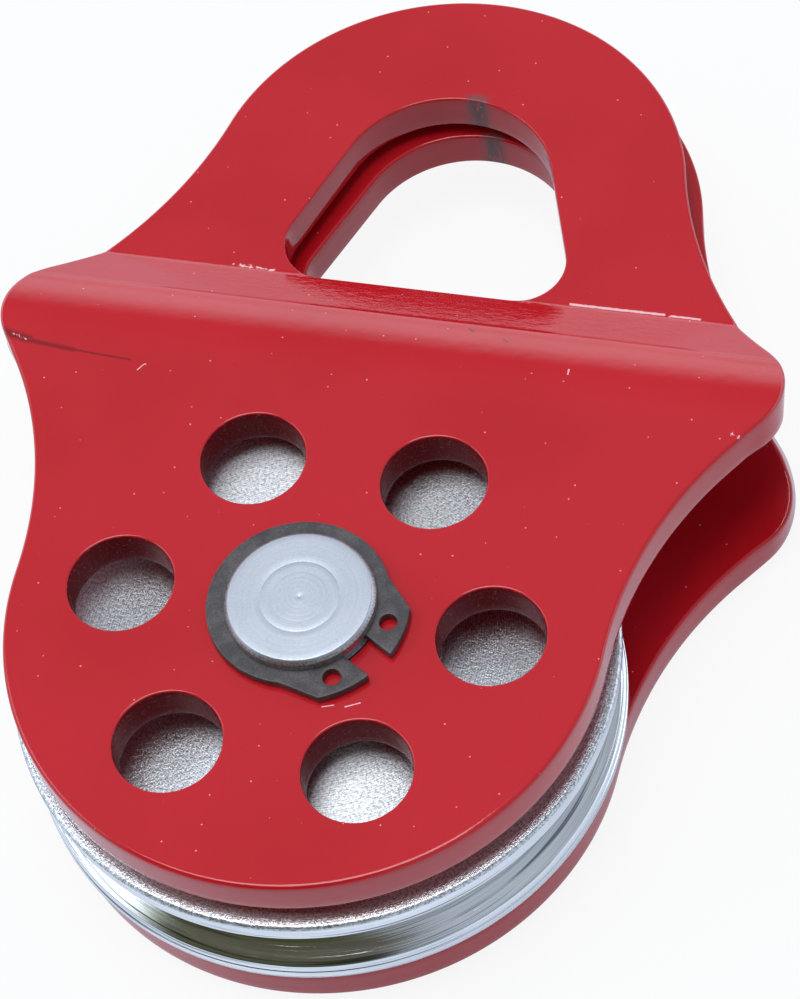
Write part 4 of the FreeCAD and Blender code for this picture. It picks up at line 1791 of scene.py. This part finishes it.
@dataclass
class Studio:
    """Pale floor, a soft lamp overhead, the surroundings and the camera."""

    camera_place: tuple[float, float, float] = (124.849, -230.955, 469.143)
    camera_turn: tuple[float, float, float] = (32.5416, 7.0532, 13.2618)
    lens: float = 110.372
    sensor: float = 36.0
    floor_side: float = 6000.0
    paper: Colour = (0.74, 0.77, 0.82, 1.0)
    paper_sheen: Colour = (0.84, 0.97, 1.14, 1.0)
    white: Colour = (1.0, 1.0, 1.0, 1.0)
    seen_share: float = 0.9
    lamp_place: tuple[float, float, float] = (-100.0, -60.0, 1250.0)
    lamp_side: float = 700.0
    lamp_power: float = 8.6
    lamp_aim: tuple[float, float, float] = (0.0, 30.0, 20.0)
    surroundings: Surroundings = field(default_factory=Surroundings)

    def build(self) -> None:
        """Makes the floor, world, lamp and camera."""
        self.floor()
        self.world()
        self.lamp("overhead_softbox")
        self.camera()

    def floor(self) -> None:
        """Lays white paper that keeps the object's shadow."""
        half = self.floor_side / 2
        floor = make_object("floor", np.array([[-half, -half, 0], [half, -half, 0],
                                               [half, half, 0], [-half, half, 0]]), [(0, 1, 2, 3)])
        material, graph, shader = new_material("white_paper")
        wire(graph, shader, Base_Color=self.paper, Roughness=0.9)
        path = graph.add("ShaderNodeLightPath")
        camera, glossy = path.outputs["Is Camera Ray"], path.outputs["Is Glossy Ray"]
        glow = graph.add("ShaderNodeEmission", {
            "Color": graph.blend(camera, self.paper_sheen, self.white), "Strength": 1.0})
        # Polish and paint see the paper bright behind the block and dimmer close in front
        x, y, _ = graph.split(graph.place())
        sheen = graph.total(graph.ramp(x, 0.05, 0.2, 0.4, 0.6), graph.ramp(y, 0.1, 0.5, 0.0, 0.7))
        seen = graph.total(graph.product(camera, self.seen_share),
                           graph.product(glossy, sheen))
        mixed = graph.add("ShaderNodeMixShader", {0: seen, 1: shader.outputs[0],
                                                  2: glow.outputs[0]})
        out = material.node_tree.nodes["Material Output"]
        material.node_tree.links.new(mixed.outputs[0], out.inputs["Surface"])
        floor.data.materials.append(material)

    def world(self) -> None:
        """Paints the surroundings, which the camera itself sees as white."""
        world = bpy.data.worlds.new("studio")
        bpy.context.scene.world = world
        world.use_nodes = True
        graph = Graph(world.node_tree)
        white = graph.add("ShaderNodeBackground", {"Color": self.white, "Strength": 1.0})
        seen = graph.add("ShaderNodeLightPath").outputs["Is Camera Ray"]
        mixed = graph.add("ShaderNodeMixShader", {0: seen, 1: self.surroundings.glow(graph),
                                                  2: white.outputs[0]})
        out = world.node_tree.nodes["World Output"]
        world.node_tree.links.new(mixed.outputs[0], out.inputs["Surface"])

    def lamp(self, name: str) -> None:
        """Hangs a square soft lamp aimed at the block.

        Args:
            name: Name of the lamp.
        """
        light = bpy.data.lights.new(name, "AREA")
        light.size = self.lamp_side * MM
        light.energy = self.lamp_power
        lamp = bpy.data.objects.new(name, light)
        bpy.context.collection.objects.link(lamp)
        lamp.location = Vector(self.lamp_place) * MM
        aim = (Vector(self.lamp_aim) - Vector(self.lamp_place)) * MM
        lamp.rotation_euler = aim.to_track_quat("-Z", "Y").to_euler()

    def camera(self) -> None:
        """Sets the camera at the photograph's place."""
        data = bpy.data.cameras.new("camera")
        data.sensor_fit = "VERTICAL"
        data.sensor_height = self.sensor
        data.lens = self.lens
        data.clip_start = 0.01
        camera = bpy.data.objects.new("camera", data)
        bpy.context.collection.objects.link(camera)
        camera.location = Vector(self.camera_place) * MM
        camera.rotation_euler = [math.radians(turn) for turn in self.camera_turn]
        bpy.context.scene.camera = camera
        bpy.context.scene.view_settings.view_transform = "Standard"


@dataclass
class SnatchBlock:
    """The whole block: two side plates, the sheave, the axle and its circlip.

    The scuffs are each eye's rubbed band: its middle across the plate and the crown's height.
    """

    plate: SidePlate = field(default_factory=SidePlate)
    sheave: Sheave = field(default_factory=Sheave)
    axle: Axle = field(default_factory=Axle)
    circlip: Circlip = field(default_factory=Circlip)
    front_scuff: tuple[float, float] = (2.0, 117.3)
    rear_scuff: tuple[float, float] = (4.0, 117.3)

    def build(self, nodes: dict[str, bpy.types.Object]) -> None:
        """Makes and dresses every piece.

        Args:
            nodes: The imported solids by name.
        """
        front_coat = PowderCoat("front_coat", self.front_scuff, FRONT_MARKS).make()
        rear_coat = PowderCoat("rear_coat", self.rear_scuff).make()
        wheel_zinc = WheelZinc("wheel_zinc", SHEAVE_MIDDLE, self.sheave.width / 2,
                               self.sheave.radius).make()
        axle_zinc = TurnedZinc("axle_zinc").make()
        pieces = [
            self.plate.build(Body.FRONT_SIDE, "front_plate", front_coat),
            self.plate.build(Body.REAR_SIDE, "rear_plate", rear_coat),
            self.sheave.build(wheel_zinc),
            self.axle.build(axle_zinc),
            self.circlip.build(DarkPhosphate("circlip_steel").make()),
        ]
        for name, finish in (("bush", BearingBronze("bush_bronze").make()),
                             ("rear_washer", axle_zinc), ("front_washer", axle_zinc)):
            nodes[name].data.materials.clear()
            nodes[name].data.materials.append(finish)
            pieces.append(nodes[name])
        for piece in pieces:
            log.info("%s: %d faces", piece.name, len(piece.data.polygons))


def main() -> None:
    """Builds the dressed block in its studio."""
    logging.basicConfig(level=logging.INFO, format="%(name)s: %(message)s")
    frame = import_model()
    Studio().build()
    SnatchBlock().build(frame["nodes"])


if __name__ == "__main__":
    main()
